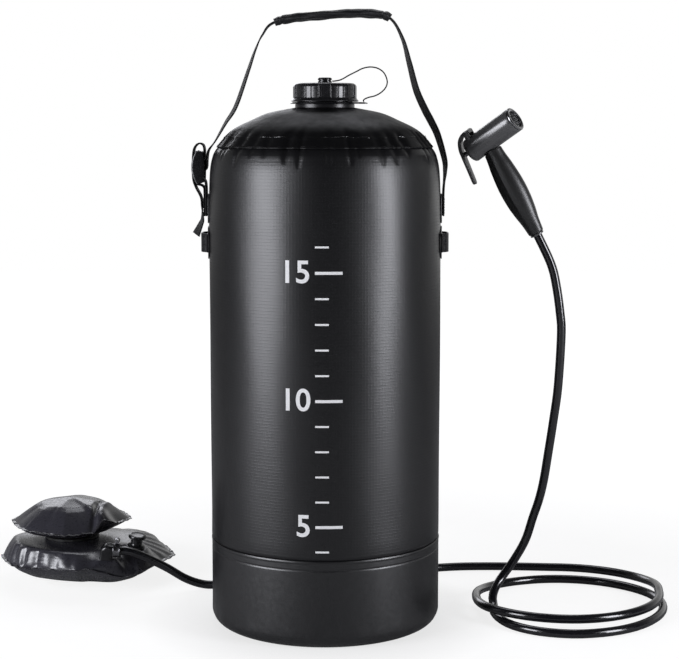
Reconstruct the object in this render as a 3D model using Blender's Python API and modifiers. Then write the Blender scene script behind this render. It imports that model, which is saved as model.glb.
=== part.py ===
"""Camp shower bag: a 20-litre welded bag that a foot pump pressurises, with a trigger shower head.

Metres, +Z up. The bag stands on z = 0 with its axis on the origin. +X is the right of the front view,
and the front looks along +Y. The foot pump stands at the back left, the hose coil at the right.
"""
import math

import bmesh
import bpy
import numpy as np
from mathutils import Matrix, Vector

# Clearances
GAP = 0.0003
RUNNING = 0.0004

# Bag
BAG_R = 0.1155
FILM = 0.0012
CORNER_R = 0.0135
CORNER_PARTS = 3
LAP = 0.009
SLOPE_SHARE = 1.05
CUP_TOP = 0.0876
SHOULDER = ((0.1155, 0.4200), (0.1142, 0.4554), (0.1115, 0.4703), (0.1085, 0.4768))
DOME = ((0.1075, 0.4805), (0.0980, 0.4920), (0.0890, 0.4990), (0.0737, 0.5064), (0.0560, 0.5138),
        (0.0300, 0.5190))
BAG_STEPS = 36
ROUND_STEPS = 28
SMALL_STEPS = 18

# Filler neck and cap
COLLAR_R = 0.0295
SPOUT_R = 0.0275
SPOUT_BORE = 0.0245
SPOUT_TOP = 0.5380
COLLAR_TOP = 0.5226
FLANGE_R = 0.0460
FLANGE_T = 0.0020
THREAD_H = 0.0010
THREAD_Z = 0.5300
RING_T = 0.0016
RING_R = 0.0360
EYELET_X = 0.0385
EYELET_R = 0.0045
CAP_R = 0.0315
CAP_WALL = 0.0025
CAP_TOP_T = 0.0025
CAP_H = 0.0181
CAP_EASE = 0.0026
CAP_LOW = COLLAR_TOP + GAP + RING_T + RUNNING
GASKET_T = 0.0019
RIB_DEPTH = 0.0007
CAP_STEPS = 72
GRIP_ZONES = 6
ZONE_SHARE = 0.4
STUD_R = 0.0028
STUD_H = 0.0036
SWIVEL_R = 0.0070
SWIVEL_H = 0.0052
SWIVEL_EASE = 0.0013
TETHER_OUT_H = 0.0018
TETHER_STUB = 0.0020
TETHER_D = 0.0014
TETHER_STEP = 0.0036

# Handle
SWING_Z = 0.4200
STRAP_W = 0.0200
STRAP_T = 0.0015
STRAP_STEP = 0.0012
BAND_BEND = 14
BAND_REACH = 0.016
GRIP_W = 0.0240
GRIP_T = 0.0088
GRIP_END_X = (-0.0505, 0.0647)
GRIP_LOW_Z = 0.5900
STRAP_LEFT = ((-0.1240, 0.4040, 0), (-0.1224, 0.4083, 0), (-0.1225, 0.4180, 0), (-0.1232, 0.4300, 0),
              (-0.1280, 0.4400, 0), (-0.1307, 0.4480, 0), (-0.1312, 0.4600, 0), (-0.1306, 0.4740, 0),
              (-0.1288, 0.4805, 0), (-0.1250, 0.4838, 0), (-0.1210, 0.4825, 0), (-0.1196, 0.4780, 0),
              (-0.1196, 0.4710, 0), (-0.1203, 0.4678, 0), (-0.1235, 0.4666, 0), (-0.1272, 0.4650, 0),
              (-0.1283, 0.4612, 0), (-0.1272, 0.4575, 0), (-0.1235, 0.4562, 0), (-0.1195, 0.4572, 0),
              (-0.1175, 0.4605, 0), (-0.1170, 0.4680, 0), (-0.1155, 0.4770, 0), (-0.1090, 0.4861, 4),
              (-0.0985, 0.5040, 9), (-0.0880, 0.5210, 12), (-0.0755, 0.5560, 10), (-0.0685, 0.5758, 6),
              (-0.0616, 0.5900, 2))
STRAP_TOP = ((-0.0505, 0.6020, 0), (-0.0200, 0.6078, 0), (0.0176, 0.6105, 0), (0.0450, 0.6110, 0),
             (0.0647, 0.6060, 0))
STRAP_RIGHT = ((0.0765, 0.5869, -4), (0.0835, 0.5627, -10), (0.0906, 0.5363, -14), (0.0994, 0.5167, -16),
               (0.1051, 0.5062, -16), (0.1120, 0.4918, -14), (0.1190, 0.4680, -10), (0.1196, 0.4560, -5),
               (0.1188, 0.4463, 0), (0.1181, 0.4360, 0), (0.1180, 0.4240, 0), (0.1180, 0.4120, 0))
TAIL_END = (-0.1289, 0.3932, 0)
LOCK_X = -0.1235
LOCK_T = 0.0040
LOCK_W = 0.0260
LOCK_EASE = 0.0020
LOCK_Z = (0.4445, 0.4763)
LOCK_SLOTS = ((0.4475, 0.4510), (0.4540, 0.4585), (0.4640, 0.4690))
SLOT_EXTRA = 0.0015
ANCHOR = ((0.1180, 0.4120), (0.1180, 0.4300), (0.1182, 0.4410), (0.1191, 0.4468), (0.1215, 0.4490),
          (0.1245, 0.4491), (0.1268, 0.4482), (0.1276, 0.4458), (0.1262, 0.4434), (0.1228, 0.4425),
          (0.1204, 0.4405), (0.1198, 0.4360), (0.1198, 0.4120))

# Patches and holder loops on the side wall
PATCH_T = 0.0010
PATCH_POINTS = 11
ANCHOR_PATCH = (0.0160, 0.4050, 0.4340)
LOOP_PATCH = (0.0240, 0.3690, 0.4020)
LOOP_H = 0.0190
LOOP_Z = 0.3860
LOOP_T = 0.0012
LOOP_OUT = 0.0052
LOOP_STEP = 0.0026
LOOP_SHAPE = ((1.0, 0.0), (1.0, 0.0050), (0.88, 0.0095), (0.42, 0.0135))
LOOP_FOOT = (0.0170, 0.0210)

# Water outlet and air inlet through the back of the base cup
PORT_ANGLE = math.radians(10.5)
PORT_Z = 0.0300
PORT_FLANGE_R = 0.0130
PORT_FLANGE_T = 0.0020
PORT_SPIGOT_R = 0.0060
PORT_BORE = 0.0035
PORT_IN = 0.0110
CHECK_INSET = 0.0010
CHECK_L = 0.0060
CHECK_RIM = 0.0015
CHECK_TIP_R = 0.0010
HUB_R = 0.0070
HUB_L = 0.0080
LOCKNUT_R = 0.0100
LOCKNUT_T = 0.0045
WALL_SAG = LOCKNUT_R ** 2 / (2 * BAG_R) + GAP
NUT_EASE = 0.0010
NUT_R = 0.0108
NUT_L = 0.0068
ELBOW_R = 0.0062
TAIL_SHARE = 0.92
KNUCKLE_SHARE = 1.06
ELBOW_REACH = 0.0200
TAIL_L = 0.0220
OUTLET_TAIL = (0.93, 0.20, -0.31)
AIR_TAIL = (-0.93, -0.27, -0.25)
CLAMP_W = 0.0070
CLAMP_T = 0.0010
CLAMP_INSET = 0.0015
SCREW_R = 0.0026
SCREW_L = 0.0120

# Foot pump
BLADDER = (-0.2665, 0.1560)
BLADDER_HALF = 0.0985
BLADDER_Z = (0.0, 0.0220, 0.0460)
CUSHION = (-0.2840, 0.1560)
CUSHION_HALF = 0.0670
CUSHION_Z = (0.0490, 0.0650, 0.0905)
SKIN = 0.0015
SIDES = 8
ROUNDING = 0.30
ROUND_SHARE = 1.04
FULLNESS = 0.55
CROWN = 0.90
FLATTENED = 1.12
SLOPE_STEP = 0.0060
AIRWAY_R = 0.0110
AIRWAY_DEPTH = 0.0080
JOIN_R = 0.0300
FOAM_R = 0.0380
FOAM_INSET = 0.0026
INTAKE_AT = (-0.2080, 0.1150)
INTAKE_R = 0.0095
INTAKE_TUBE_R = 0.0062
INTAKE_BORE = 0.0040
INTAKE_H = 0.0120
INTAKE_COLLAR = 0.0030
INTAKE_SEAT = 0.0040
INTAKE_HOLE_R = 0.0020
FLAP_T = 0.0008
INTAKE_CAP_T = 0.0036
INTAKE_EASE = 0.0010
INTAKE_PLUG_R = 0.0028
INTAKE_PLUG_L = 0.0030
INTAKE_HINGE_OUT = 0.0008
PUMP_OUT_AT = (-0.2360, 0.0800)
PUMP_OUT_REACH = 0.0100
PUMP_OUT_FOOT = -0.0002
SEAT_SAG = 0.0009
PUMP_OUT_TAIL = (0.985, 0.03, -0.10)
PUMP_TAIL_L = 0.0160
PUMP_ELBOW_R = 0.0068

# Hoses
HOSE_D = 0.0090
HOSE_STEP = 0.0125
FLOOR_Z = HOSE_D / 2 + GAP
PUMP_HOSE = ((-0.1930, 0.0830, 0.0400), (-0.1720, 0.0880, 0.0280), (-0.1520, 0.0945, 0.0140),
             (-0.1340, 0.1010, FLOOR_Z + 0.0012), (-0.1180, 0.1045, FLOOR_Z), (-0.0980, 0.1110, 0.0075),
             (-0.0740, 0.1185, 0.0142))
RUN = ((0.0750, 0.1495, 0.0118), (0.1000, 0.1625, 0.0060), (0.1250, 0.1735, FLOOR_Z),
       (0.1500, 0.1785, FLOOR_Z), (0.1800, 0.1800, FLOOR_Z), (0.2150, 0.1790, FLOOR_Z))
COIL_AT = (0.2535, 0.0450)
COIL_END = 600
COIL_STEP = 15
HALF_LAP = 0.08
OVER_Z = FLOOR_Z + HOSE_D + 0.0009
COIL_STAGES = ((-60, 0.1330, FLOOR_Z), (0, 0.1310, FLOOR_Z), (50, 0.1135, 0.0092), (82, 0.1000, OVER_Z),
               (100, 0.0966, OVER_Z), (140, 0.0985, OVER_Z), (185, 0.1045, OVER_Z), (232, 0.1075, OVER_Z),
               (265, 0.0960, 0.0120), (300, 0.0895, 0.0065), (335, 0.0830, FLOOR_Z), (370, 0.0814, FLOOR_Z),
               (405, 0.0860, FLOOR_Z), (445, 0.0968, FLOOR_Z), (490, 0.1060, FLOOR_Z), (525, 0.1170, FLOOR_Z),
               (548, 0.1215, FLOOR_Z), (572, 0.1150, FLOOR_Z), (600, 0.0925, FLOOR_Z), (625, 0.0760, FLOOR_Z))
RISER = ((0.1742, 0.0120, 0.0072), (0.1738, 0.0215, 0.0138), (0.1770, 0.0295, 0.0215),
         (0.1838, 0.0370, 0.0300), (0.1967, 0.0420, 0.0468), (0.2092, 0.0420, 0.0695),
         (0.2165, 0.0390, 0.0947), (0.2222, 0.0350, 0.1147), (0.2262, 0.0300, 0.1365),
         (0.2298, 0.0240, 0.1669), (0.2339, 0.0180, 0.2027), (0.2372, 0.0120, 0.2381),
         (0.2387, 0.0050, 0.2918), (0.2369, 0.0030, 0.3139), (0.2326, 0.0010, 0.3410),
         (0.2269, 0.0000, 0.3630))
TETHER = ((0.0160, 0.5465), (0.0238, 0.5508), (0.0313, 0.5545), (0.0374, 0.5575), (0.0450, 0.5589),
          (0.0526, 0.5575), (0.0586, 0.5530), (0.0617, 0.5455), (0.0606, 0.5395), (0.0564, 0.5345),
          (0.0500, 0.5308), (0.0430, 0.5290))

# Shower head, in its own frame: x towards the spray, z up the handle from the handle's lower end
HEAD_AT = (0.2110, 0.0, 0.3957)
HANDLE_UP = (-0.480, 0.0, 0.877)
SPRAY_WAY = (0.7106, -0.446, 0.544)
BARREL_TILT = math.radians(7.8)
BARREL_AT = (-0.0212, 0.1019)
BARREL_R = 0.0125
BARREL_L = 0.0570
BARREL_WALL = 0.0028
REAR_WALL = 0.0040
BARREL_EASE = 0.0012
FACE_SEAT = 0.0050
FACE_STEP = 0.0012
PLATE_T = 0.0020
FACE_RING_W = 0.0022
FACE_RING_IN = 0.0036
FACE_RING_EASE = 0.0006
SPRAY_HOLE_R = 0.0006
SPRAY_ROWS = ((1, 0.0), (5, 0.0032), (9, 0.0064))
HANDLE_SHAPE = ((0.0000, 0.0080), (0.0120, 0.0095), (0.0240, 0.0118), (0.0380, 0.0134), (0.0540, 0.0137),
                (0.0720, 0.0121), (0.0840, 0.0103), (0.0960, 0.0094))
HANDLE_DEPTH = 0.84
HANDLE_RINGS = 8
GRIP_SKIN = 0.0026
GRIP_SPAN = (0.0050, 0.0820)
COLLAR_L = 0.0032
COLLAR_EASE = 0.0008
LEVER = ((-0.0095, 0.1202), (-0.0145, 0.1208), (-0.0212, 0.1204), (-0.0280, 0.1148), (-0.0313, 0.1010),
         (-0.0330, 0.0850), (-0.0342, 0.0700))
LEVER_STEP = 0.0040
LEVER_ROUND = 0.4
LEVER_T = 0.0044
LEVER_W = 0.0160
LEVER_PIVOT = (-0.0142, 0.1205)
PIN_R = 0.0011
EAR_T = 0.0020
EAR_HALF = 0.0034
EAR_Z = (-0.0105, 0.0026)
BAR_HALF = 0.0130
STEM_R = 0.0026
STEM_HEAD_R = 0.0080
STEM_OUT = 0.0066
STEM_HEAD_T = 0.0030
VALVE_TRAVEL = 0.0026
SEAL_R = 0.0070
SEAL_BORE = 0.0008
SEAL_T = 0.0015
SPRING_R = 0.0058
SPRING_WIRE = 0.0008
SPRING_TURNS = 5
STOP_ROOM = 0.0060
STOP_BORE = 0.0040
STOP_T = 0.0030

parts = None
cutters = None


def start():
    """An empty scene with one collection for the parts and one for the cutters."""
    global parts, cutters
    for old in list(bpy.data.objects):
        bpy.data.objects.remove(old, do_unlink=True)
    parts = bpy.data.collections.new("camp_shower_bag")
    cutters = bpy.data.collections.new("cutters")
    bpy.context.scene.collection.children.link(parts)
    bpy.context.scene.collection.children.link(cutters)


def finish(name, colour, roughness, metallic=0.0):
    """A plain Principled material."""
    made = bpy.data.materials.new(name)
    made.use_nodes = True
    shader = made.node_tree.nodes["Principled BSDF"]
    shader.inputs["Base Color"].default_value = (*colour, 1.0)
    shader.inputs["Roughness"].default_value = roughness
    shader.inputs["Metallic"].default_value = metallic
    return made


def add(name, data, look, collection=None):
    """An object for data in the parts' collection, with its own copy of a material."""
    made = bpy.data.objects.new(name, data)
    (collection or parts).objects.link(made)
    if look:
        data.materials.append(finish(name + "_finish", *look))
    return made


def empty(name, matrix):
    """A named place that pieces hang on."""
    made = bpy.data.objects.new(name, None)
    made.empty_display_size = 0.02
    parts.objects.link(made)
    made.matrix_world = matrix
    return made


def carry(holder, *pieces):
    """Parents pieces to an empty and leaves them where they are."""
    bpy.context.view_layer.update()
    for piece in pieces:
        piece.parent = holder
        piece.matrix_parent_inverse = holder.matrix_world.inverted()


def place(point, way, side=(0.0, 1.0, 0.0)):
    """The matrix that puts local z along way at a point, with local y near side."""
    z = Vector(way).normalized()
    x = Vector(side).cross(z).normalized()
    y = z.cross(x)
    turned_way = Matrix((x, y, z)).transposed().to_4x4()
    return Matrix.Translation(Vector(point)) @ turned_way


def turned(name, profile, steps, look, closed=False, at=None, collection=None):
    """A profile of (radius, height) points turned about local z. On its outer side it runs down."""
    mesh = bpy.data.meshes.new(name)
    count = len(profile)
    edges = [(i, i + 1) for i in range(count - 1)]
    if closed:
        edges.append((count - 1, 0))
    mesh.from_pydata([(r, 0.0, z) for r, z in profile], edges, [])
    made = add(name, mesh, look, collection)
    screw = made.modifiers.new("turn", "SCREW")
    screw.steps = steps
    screw.render_steps = steps
    screw.use_merge_vertices = True
    screw.merge_threshold = 0.00001
    if at is not None:
        made.matrix_world = at
    return made


def ring(name, inner, outer, low, high, steps, look, at=None, ease=0.0):
    """A turned ring with its outer edges eased by a small chamfer."""
    profile = [(inner, high), (outer - ease, high), (outer, high - ease), (outer, low + ease),
               (outer - ease, low), (inner, low)]
    if not ease:
        profile = [(inner, high), (outer, high), (outer, low), (inner, low)]
    return turned(name, profile, steps, look, closed=True, at=at)


def rod(name, radius, low, high, steps, look, at=None, collection=None):
    """A turned solid bar along local z."""
    profile = [(0.0, high), (radius, high), (radius, low), (0.0, low)]
    return turned(name, profile, steps, look, at=at, collection=collection)


def box(name, low, high, look, at=None, collection=None):
    """A box between two corners."""
    mesh = bpy.data.meshes.new(name)
    shape = bmesh.new()
    bmesh.ops.create_cube(shape, size=1.0)
    size = [b - a for a, b in zip(low, high)]
    middle = [(a + b) / 2 for a, b in zip(low, high)]
    bmesh.ops.scale(shape, vec=size, verts=shape.verts)
    bmesh.ops.translate(shape, vec=middle, verts=shape.verts)
    shape.to_mesh(mesh)
    shape.free()
    made = add(name, mesh, look, collection)
    if at is not None:
        made.matrix_world = at
    return made


def plate(name, outlines, thickness, look, at):
    """A flat outline with its holes, extruded half its thickness to each side of local z = 0."""
    curve = bpy.data.curves.new(name, "CURVE")
    curve.dimensions = "2D"
    curve.fill_mode = "BOTH"
    curve.extrude = thickness / 2
    curve.render_resolution_u = 0
    for outline in outlines:
        spline = curve.splines.new("POLY")
        spline.points.add(len(outline) - 1)
        for point, (x, y) in zip(spline.points, outline):
            point.co = (x, y, 0.0, 1.0)
        spline.use_cyclic_u = True
    made = add(name, curve, look)
    made.matrix_world = at
    return made


def circle(radius, steps, middle=(0.0, 0.0)):
    """The points of a circle in a plane."""
    angles = np.linspace(0.0, 2 * math.pi, steps, endpoint=False)
    return [(middle[0] + radius * math.cos(a), middle[1] + radius * math.sin(a)) for a in angles]


def tube(name, points, radius, look, detail=2):
    """A round bar through points."""
    curve = bpy.data.curves.new(name, "CURVE")
    curve.dimensions = "3D"
    curve.bevel_depth = radius
    curve.bevel_resolution = detail
    curve.use_fill_caps = True
    curve.render_resolution_u = 0
    spline = curve.splines.new("POLY")
    spline.points.add(len(points) - 1)
    for point, place_at in zip(spline.points, points):
        point.co = (*place_at, 1.0)
    return add(name, curve, look)


def as_mesh(made):
    """Turns a curve or a modified object into a plain mesh under the same name."""
    bpy.context.view_layer.update()
    graph = bpy.context.evaluated_depsgraph_get()
    mesh = bpy.data.meshes.new_from_object(made.evaluated_get(graph))
    shape = bmesh.new()
    shape.from_mesh(mesh)
    bmesh.ops.remove_doubles(shape, verts=shape.verts, dist=0.000001)
    shape.to_mesh(mesh)
    shape.free()
    name = made.name
    world = made.matrix_world.copy()
    bpy.data.objects.remove(made, do_unlink=True)
    plain = bpy.data.objects.new(name, mesh)
    parts.objects.link(plain)
    plain.matrix_world = world
    return plain


def cut(piece, cutter, how="DIFFERENCE"):
    """Cuts or joins one object by another, which stays as a hidden cutter."""
    for holder in list(cutter.users_collection):
        holder.objects.unlink(cutter)
    cutters.objects.link(cutter)
    cutter.hide_render = True
    cutter.display_type = "WIRE"
    step = piece.modifiers.new(how.lower(), "BOOLEAN")
    step.operation = how
    step.solver = "EXACT"
    step.object = cutter
    return piece


def spline(points):
    """Close points on a smooth curve from the second to the last but one of the points."""
    fine = []
    for i in range(1, len(points) - 2):
        a, b, c, d = points[i - 1:i + 3]
        t = np.linspace(0.0, 1.0, 24, endpoint=False)[:, None]
        fine.append(0.5 * (2 * b + (c - a) * t + (2 * a - 5 * b + 4 * c - d) * t ** 2
                           + (3 * b - a - 3 * c + d) * t ** 3))
    return np.vstack([*fine, points[-2:-1]])


def evenly(fine, step, measured=3):
    """Points a step apart along a fine line, by the length of its first columns."""
    along = np.concatenate([[0.0], np.cumsum(np.linalg.norm(np.diff(fine[:, :measured], axis=0), axis=1))])
    wanted = np.linspace(0.0, along[-1], max(3, round(along[-1] / step) + 1))
    return np.stack([np.interp(wanted, along, fine[:, k]) for k in range(fine.shape[1])], axis=1)


def smooth(route, step, measured=3):
    """Evenly spaced points on a smooth curve through the route's points."""
    points = np.array(route, float)
    ends = np.vstack([2 * points[0] - points[1], points, 2 * points[-1] - points[-2]])
    return evenly(spline(ends), step, measured)


def hose_line(route):
    """Evenly spaced points on a smooth curve whose first and last stretches stay straight."""
    points = np.array(route, float)
    return np.vstack([points[:1], evenly(spline(points), HOSE_STEP), points[-1:]])


def surface(name, rings, look):
    """A closed skin through rings of equally many points."""
    count = len(rings[0])
    vertices = [tuple(p) for points in rings for p in points]
    faces = []
    for i in range(len(rings) - 1):
        for j in range(count):
            k = (j + 1) % count
            faces.append((i * count + j, i * count + k, (i + 1) * count + k, (i + 1) * count + j))
    last = (len(rings) - 1) * count
    faces.append(tuple(reversed(range(count))))
    faces.append(tuple(last + j for j in range(count)))
    mesh = bpy.data.meshes.new(name)
    mesh.from_pydata(vertices, [], faces)
    shape = bmesh.new()
    shape.from_mesh(mesh)
    bmesh.ops.recalc_face_normals(shape, faces=shape.faces)
    shape.to_mesh(mesh)
    shape.free()
    return add(name, mesh, look)


def ribbon(name, points, across, width, thickness, look):
    """A flat band through points. across is the band's width direction at each point."""
    points = np.array(points, float)
    across = np.array(across, float)
    along = np.gradient(points, axis=0)
    along /= np.linalg.norm(along, axis=1)[:, None]
    across = across - (across * along).sum(1)[:, None] * along
    across /= np.linalg.norm(across, axis=1)[:, None]
    normal = np.cross(along, across)
    rings = []
    for p, w, n in zip(points, across, normal):
        half_w = w * width / 2
        half_t = n * thickness / 2
        rings.append([p - half_w - half_t, p + half_w - half_t, p + half_w + half_t, p - half_w + half_t])
    return surface(name, rings, look)


def line_z(line, radius):
    """The height of a falling (radius, height) line at a radius."""
    radii = [r for r, _ in line][::-1]
    heights = [z for _, z in line][::-1]
    return float(np.interp(radius, radii, heights))


def inset(line, depth):
    """A (radius, height) line moved towards the bag's inside by depth."""
    line = np.array(line, float)
    along = np.gradient(line, axis=0)
    along /= np.linalg.norm(along, axis=1)[:, None]
    outward = np.stack([along[:, 1], -along[:, 0]], axis=1)
    return [tuple(p) for p in line - outward * depth]


def film_profile(line):
    """The closed section of a film whose outer face is a line that climbs."""
    return list(reversed(line)) + inset(line, FILM)


BLACK_FILM = ((0.016, 0.016, 0.018), 0.38)
CUP_FILM = ((0.010, 0.010, 0.011), 0.42)
WELD_FILM = ((0.022, 0.022, 0.024), 0.30)
MOULDED = ((0.020, 0.020, 0.022), 0.35)
WEBBING = ((0.012, 0.012, 0.013), 0.85)
SOFT_GRIP = ((0.015, 0.015, 0.016), 0.70)
RUBBER = ((0.025, 0.025, 0.026), 0.60)
STEEL = ((0.62, 0.62, 0.63), 0.25, 1.0)
HOSE_LOOK = ((0.012, 0.012, 0.016), 0.18)
PUMP_FILM = ((0.014, 0.013, 0.018), 0.30)
FOAM_LOOK = ((0.30, 0.30, 0.32), 0.95)
HEAD_GREY = ((0.045, 0.045, 0.046), 0.45)


def port_frame(side):
    """The frame of the outlet (side 1) or inlet (side -1): z points out of the bag's back wall."""
    angle = PORT_ANGLE * side
    way = (math.sin(angle), math.cos(angle), 0.0)
    at = (BAG_R * way[0], BAG_R * way[1], PORT_Z)
    return place(at, way, side=(0.0, 0.0, 1.0))


def base_cup():
    """The flat base with its round corner and the low wall that the side wall stands in."""
    corner = []
    for i in range(CORNER_PARTS + 1):
        angle = math.radians(90 * i / CORNER_PARTS)
        corner.append((BAG_R - CORNER_R + CORNER_R * math.sin(angle), CORNER_R - CORNER_R * math.cos(angle)))
    outer = [*corner, (BAG_R, CUP_TOP)]
    inner = [(BAG_R - FILM, CUP_TOP), (BAG_R - FILM, CORNER_R)]
    for i in range(1, CORNER_PARTS + 1):
        angle = math.radians(90 - 90 * i / CORNER_PARTS)
        radius = CORNER_R - FILM
        inner.append((BAG_R - CORNER_R + radius * math.sin(angle), CORNER_R - radius * math.cos(angle)))
    profile = [(0.0, FILM), *reversed(inner), *reversed(outer), (0.0, 0.0)]
    cup = turned("base_cup", profile, BAG_STEPS, CUP_FILM)
    for side in (1, -1):
        hole = rod("port_hole", PORT_SPIGOT_R + GAP, -PORT_IN, PORT_IN, 14, None, port_frame(side))
        cut(cup, hole)


def side_wall():
    """The tall fabric wall, stepped in where the cup and the dome lap over it."""
    step_in = FILM + GAP
    lower = [(BAG_R - step_in, CUP_TOP - LAP), (BAG_R - step_in, CUP_TOP + GAP),
             (BAG_R, CUP_TOP + 2 * GAP + FILM)]
    upper = inset(DOME[:2], step_in)
    turned("side_wall", film_profile([*lower, *SHOULDER, *upper]), BAG_STEPS, BLACK_FILM, closed=True)


def top_dome():
    """The welded top, open at the middle for the filler neck."""
    turned("top_dome", film_profile(list(DOME)), BAG_STEPS, BLACK_FILM, closed=True)


def filler_neck():
    """The threaded spout, whose flange is welded under the dome."""
    def under(radius):
        return line_z(DOME, radius) - FILM * SLOPE_SHARE - GAP

    profile = [(SPOUT_BORE, SPOUT_TOP), (SPOUT_R, SPOUT_TOP), (SPOUT_R, THREAD_Z + THREAD_H),
               (SPOUT_R + THREAD_H, THREAD_Z), (SPOUT_R, THREAD_Z - THREAD_H), (SPOUT_R, COLLAR_TOP),
               (COLLAR_R, COLLAR_TOP), (COLLAR_R, under(COLLAR_R + GAP)), (FLANGE_R, under(FLANGE_R)),
               (FLANGE_R, under(FLANGE_R) - FLANGE_T), (SPOUT_BORE, under(COLLAR_R) - FLANGE_T)]
    turned("filler_neck", profile, ROUND_STEPS, MOULDED, closed=True)


def tether_ring():
    """The flat ring that sits on the neck's shoulder, with the tether's eyelet at the right."""
    eye = math.asin(EYELET_R / RING_R)
    outline = [(RING_R * math.cos(a), RING_R * math.sin(a))
               for a in np.linspace(eye, 2 * math.pi - eye, ROUND_STEPS)]
    outline += [(EYELET_X + EYELET_R * math.cos(a), EYELET_R * math.sin(a))
                for a in np.linspace(-math.pi / 2, math.pi / 2, 7)]
    middle = COLLAR_TOP + GAP + RING_T / 2
    at = Matrix.Translation((0.0, 0.0, middle))
    plate("tether_ring", [outline, circle(SPOUT_R + RUNNING, ROUND_STEPS)], RING_T, MOULDED, at)


def cap():
    """The screw cap, with ribbed grip zones between smooth panels and a stud on top."""
    top = CAP_LOW + CAP_H
    inner = CAP_R - CAP_WALL
    roof = top - CAP_TOP_T
    stud_top = top + STUD_H
    profile = [(0.0, stud_top), (STUD_R, stud_top), (STUD_R, top), (CAP_R - CAP_EASE, top),
               (CAP_R, top - CAP_EASE), (CAP_R, CAP_LOW), (inner, CAP_LOW), (inner, roof), (0.0, roof)]
    made = as_mesh(turned("cap", profile, CAP_STEPS, MOULDED))
    zone = CAP_STEPS // GRIP_ZONES
    for vertex in made.data.vertices:
        radius = math.hypot(vertex.co.x, vertex.co.y)
        if radius < CAP_R - RIB_DEPTH:
            continue
        step = round(math.atan2(vertex.co.y, vertex.co.x) / (2 * math.pi) * CAP_STEPS)
        from_zone = (step + zone // 2) % zone - zone // 2
        on_rib = abs(from_zone) <= zone * ZONE_SHARE / 2 and from_zone % 2 == 0
        if not on_rib:
            vertex.co.x *= (CAP_R - RIB_DEPTH) / radius
            vertex.co.y *= (CAP_R - RIB_DEPTH) / radius
    gasket_low = SPOUT_TOP + GAP
    gasket = ring("cap_gasket", SPOUT_BORE + GAP, SPOUT_R - GAP, gasket_low, gasket_low + GASKET_T,
                  ROUND_STEPS, RUBBER)
    swivel_low = top + GAP
    bore = STUD_R + GAP
    swivel_top = swivel_low + SWIVEL_H
    profile = [(0.0, swivel_top), (SWIVEL_R - SWIVEL_EASE, swivel_top), (SWIVEL_R, swivel_top - SWIVEL_EASE),
               (SWIVEL_R, swivel_low), (bore, swivel_low), (bore, stud_top + GAP), (0.0, stud_top + GAP)]
    swivel = turned("cap_swivel", profile, SMALL_STEPS, MOULDED)
    axis = empty("cap_axis", Matrix.Translation((0.0, 0.0, CAP_LOW)))
    carry(axis, made, gasket, swivel)


def cap_tether():
    """The thin moulded cord from the swivel over to the ring's eyelet."""
    start_z = CAP_LOW + CAP_H + GAP + TETHER_OUT_H
    start_x = SWIVEL_R + GAP
    end_z = COLLAR_TOP + GAP + RING_T + GAP
    route = [(start_x, 0.0, start_z), (start_x + TETHER_STUB, 0.0, start_z)]
    route += [(x, 0.0, z) for x, z in TETHER]
    route += [(EYELET_X, 0.0, end_z + TETHER_STUB), (EYELET_X, 0.0, end_z)]
    line = np.vstack([route[:1], smooth(route[1:-1], TETHER_STEP), route[-1:]])
    tube("cap_tether", line, TETHER_D / 2, MOULDED)


def sparse(points, bend, reach):
    """The numbers of the points that a band needs: one for each bend in degrees, or each reach along it."""
    kept = [0]
    limit = math.cos(math.radians(bend))
    for i in range(1, len(points) - 1):
        before = points[kept[-1] + 1] - points[kept[-1]]
        after = points[i + 1] - points[i]
        turned_by = before @ after / (np.linalg.norm(before) * np.linalg.norm(after))
        if turned_by < limit or np.linalg.norm(points[i] - points[kept[-1]]) > reach:
            kept.append(i)
    return [*kept, len(points) - 1]


def strap_points():
    """The strap's centre line with its twist, from the free tail to the right anchor."""
    route = [TAIL_END, *STRAP_LEFT, *STRAP_TOP, *STRAP_RIGHT]
    points = smooth(route, STRAP_STEP, measured=2)
    line = np.stack([points[:, 0], np.zeros(len(points)), points[:, 1]], axis=1)
    along = np.gradient(line, axis=0)
    along /= np.linalg.norm(along, axis=1)[:, None]
    side = np.array([0.0, 1.0, 0.0])
    twist = np.radians(points[:, 2])[:, None]
    across = side * np.cos(twist) + np.cross(along, side) * np.sin(twist)
    kept = sparse(line, BAND_BEND, BAND_REACH)
    return line[kept], across[kept]


def handle():
    """The carry handle: one strap through a padded grip, a ladder lock and its anchor webbing."""
    line, across = strap_points()
    strap = ribbon("handle_strap", line, across, STRAP_W, STRAP_T, WEBBING)
    held = (line[:, 0] > GRIP_END_X[0]) & (line[:, 0] < GRIP_END_X[1]) & (line[:, 2] > GRIP_LOW_Z)
    inside = line[held]
    along = np.gradient(inside, axis=0)
    along /= np.linalg.norm(along, axis=1)[:, None]
    side = np.array([0.0, 1.0, 0.0])
    rings = []
    for p, t in zip(inside, along):
        up = np.cross(t, side)
        rings.append([p + side * math.cos(a) * GRIP_W / 2 + up * math.sin(a) * GRIP_T / 2
                      for a in np.linspace(0.0, 2 * math.pi, 16, endpoint=False)])
    grip = surface("handle_grip", rings, SOFT_GRIP)
    first = int(np.argmax(held))
    last = len(held) - int(np.argmax(held[::-1]))
    wide = slice(first - 1, last + 1)
    slot = ribbon("grip_slot", line[wide], across[wide], STRAP_W + SLOT_EXTRA, STRAP_T + 2 * GAP, None)
    cut(grip, slot)
    lock = ladder_lock()
    points = smooth([(-x, 0.0, z) for x, z in ANCHOR], STRAP_STEP)
    points = points[sparse(points, BAND_BEND, BAND_REACH)]
    anchor = ribbon("left_anchor_webbing", points, [side] * len(points), STRAP_W, STRAP_T, WEBBING)
    axis = empty("handle_axis", Matrix.Translation((0.0, 0.0, SWING_Z)))
    carry(axis, strap, grip, lock, anchor)


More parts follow.
